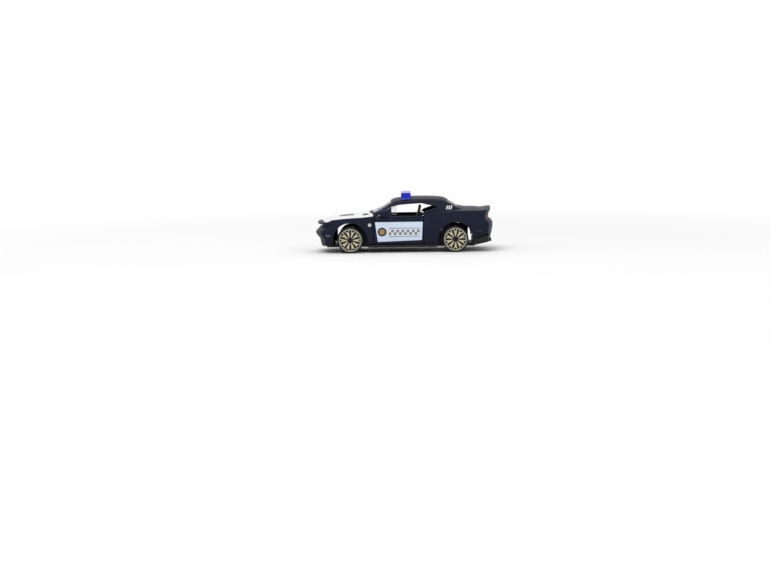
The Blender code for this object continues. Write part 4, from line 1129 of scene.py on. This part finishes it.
class TOYCAR_OT_screens(bpy.types.Operator):
    """Windscreen, rear screen and light bar"""

    bl_idname = "toycar.screens"
    bl_label = "Screens and light bar"

    def execute(self, context):
        d = sizes()
        c = body_curves(d)
        for node, front in (("windscreen", True), ("rear_screen", False)):
            place(make_screen(d, c, front), node + "_moulding", "car_body", [node],
                  "Clear Screen")
        place(round_edges(make_light_bar(d, c), 0.06), "light_bar_lens", "car_body", ["light_bar"],
              "Blue Lens")
        return {"FINISHED"}


class TOYCAR_OT_solids(bpy.types.Operator):
    """Finishes on the solids that show as they are: base, interior, lamps, grille, axles and rivets"""

    bl_idname = "toycar.solids"
    bl_label = "Base, interior and trim"

    def execute(self, context):
        kinds = {"Base Plastic": ("chassis",), "Cabin Plastic": ("interior", "steering_wheel"),
                 "Grille Plastic": ("grille",), "Lamp Silver": ("left_headlamp", "right_headlamp"),
                 "Red Lens": ("left_tail_lamp", "right_tail_lamp"),
                 "Axle Steel": ("front_axle", "rear_axle", "front_rivet", "rear_rivet")}
        for finish, nodes in kinds.items():
            for node in nodes:
                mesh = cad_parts[node].data
                mesh.materials.clear()
                mesh.materials.append(finish_of(finish))
        return {"FINISHED"}


# Stage

def make_floor(scene):
    """Pale floor that fades into plain white for the camera away from the car."""
    size = 4.0
    mesh = bpy.data.meshes.new("floor")
    mesh.from_pydata([(-size, -size, 0.0), (size, -size, 0.0), (size, size, 0.0), (-size, size, 0.0)], [],
                     [(0, 1, 2, 3)])
    floor = bpy.data.objects.new("floor", mesh)
    scene.collection.objects.link(floor)
    mat = bpy.data.materials.new("Pale Floor")
    mat.use_nodes = True
    n = Nodes(mat.node_tree)
    shader = n.tree.nodes["Principled BSDF"]
    coord = n.add("TexCoord").outputs["Object"]
    patch = n.ramp(n.noise(coord, 8.0, 2.0), 0.3, 0.7)
    n.feed(shader.inputs["Base Color"], n.mix(patch, (0.93, 0.93, 0.93), (0.95, 0.95, 0.95)))
    n.feed(shader.inputs["Roughness"], 0.8)
    glow = n.add("Emission", {"Color": (1.0, 1.0, 1.0, 1.0), "Strength": 1.0})
    reach = n.add("VectorMath", {0: coord}, operation="LENGTH").outputs["Value"]
    far = n.times(n.ramp(reach, 0.10, 0.30), n.add("LightPath").outputs["Is Camera Ray"])
    blend = n.add("MixShader", {0: far, 1: shader.outputs[0], 2: glow.outputs[0]})
    n.feed(n.tree.nodes["Material Output"].inputs["Surface"], blend.outputs[0])
    mesh.materials.append(mat)


def make_light(scene):
    """White surroundings, dimmer as a light than as a view, and three soft lamps aimed at the car."""
    world = bpy.data.worlds.new("studio")
    scene.world = world
    world.use_nodes = True
    n = Nodes(world.node_tree)
    background = n.tree.nodes["Background"]
    path = n.add("LightPath").outputs
    seen = n.most(path["Is Camera Ray"], n.most(path["Is Glossy Ray"], path["Is Transmission Ray"]))
    n.feed(background.inputs["Strength"], n.ramp(seen, 0.0, 1.0, 0.5, 1.0))
    n.feed(background.inputs["Color"], (1.0, 1.0, 1.0, 1.0))
    for name, location, extent, power in (("key", (-0.20, -0.25, 0.85), 0.5, 3.6),
                                          ("fill", (0.45, -0.55, 0.40), 0.45, 0.8),
                                          ("back", (0.1, 0.45, 0.8), 0.6, 1.0)):
        lamp = bpy.data.lights.new(name, "AREA")
        lamp.size = extent
        lamp.energy = power
        light = bpy.data.objects.new(name, lamp)
        light.location = location
        light.rotation_euler = (-Vector(location)).to_track_quat("-Z", "Y").to_euler()
        scene.collection.objects.link(light)


def make_camera(scene):
    """Camera at its distance from the near side of the car, level with the middle of its height."""
    s = scene.toy_car_stage
    near_side = -0.0145
    mid_height = 0.0118
    camera = bpy.data.cameras.new("camera")
    camera.sensor_width = 36.0
    camera.lens = camera.sensor_width * s.distance / s.view_width
    camera.clip_start = 0.01
    view = bpy.data.objects.new("camera", camera)
    scene.collection.objects.link(view)
    spot = Vector((0.0, near_side - s.distance * math.cos(s.elevation),
                   mid_height + s.distance * math.sin(s.elevation)))
    aim = Vector((s.aim_x, near_side, s.aim_z))
    turn = (aim - spot).to_track_quat("-Z", "Y").to_matrix().to_4x4()
    view.matrix_world = Matrix.Translation(spot) @ turn @ Matrix.Rotation(-s.roll, 4, "Z")
    scene.camera = view


class TOYCAR_OT_stage(bpy.types.Operator):
    """Pale floor, soft light and the camera"""

    bl_idname = "toycar.stage"
    bl_label = "Stage"

    def execute(self, context):
        scene = context.scene
        make_floor(scene)
        make_light(scene)
        make_camera(scene)
        scene.view_settings.view_transform = "Standard"
        return {"FINISHED"}


class TOYCAR_PT_panel(bpy.types.Panel):
    """Lists the steps in the sidebar"""

    bl_idname = "TOYCAR_PT_panel"
    bl_label = "Toy Police Coupe"
    bl_space_type = "VIEW_3D"
    bl_region_type = "UI"
    bl_category = "Toy Car"

    def draw(self, context):
        scene = context.scene
        for settings in (scene.toy_car_sizes, scene.toy_car_paint, scene.toy_car_stage):
            column = self.layout.column()
            for key in settings.__annotations__:
                column.prop(settings, key)
        for step in STEPS:
            self.layout.operator(step.bl_idname)


STEPS = (TOYCAR_OT_body, TOYCAR_OT_wheels, TOYCAR_OT_screens, TOYCAR_OT_solids, TOYCAR_OT_stage)
CLASSES = (ToyCarSizes, ToyCarPaint, ToyCarStage) + STEPS + (TOYCAR_PT_panel,)


def register():
    """Add the classes and the settings."""
    for cls in CLASSES:
        bpy.utils.register_class(cls)
    bpy.types.Scene.toy_car_sizes = bpy.props.PointerProperty(type=ToyCarSizes)
    bpy.types.Scene.toy_car_paint = bpy.props.PointerProperty(type=ToyCarPaint)
    bpy.types.Scene.toy_car_stage = bpy.props.PointerProperty(type=ToyCarStage)


def unregister():
    """Take out the settings and the classes."""
    del bpy.types.Scene.toy_car_stage
    del bpy.types.Scene.toy_car_paint
    del bpy.types.Scene.toy_car_sizes
    for cls in reversed(CLASSES):
        bpy.utils.unregister_class(cls)


def main():
    """Run every step."""
    register()
    bpy.ops.toycar.body()
    bpy.ops.toycar.wheels()
    bpy.ops.toycar.screens()
    bpy.ops.toycar.solids()
    bpy.ops.toycar.stage()


if __name__ == "__main__":
    main()
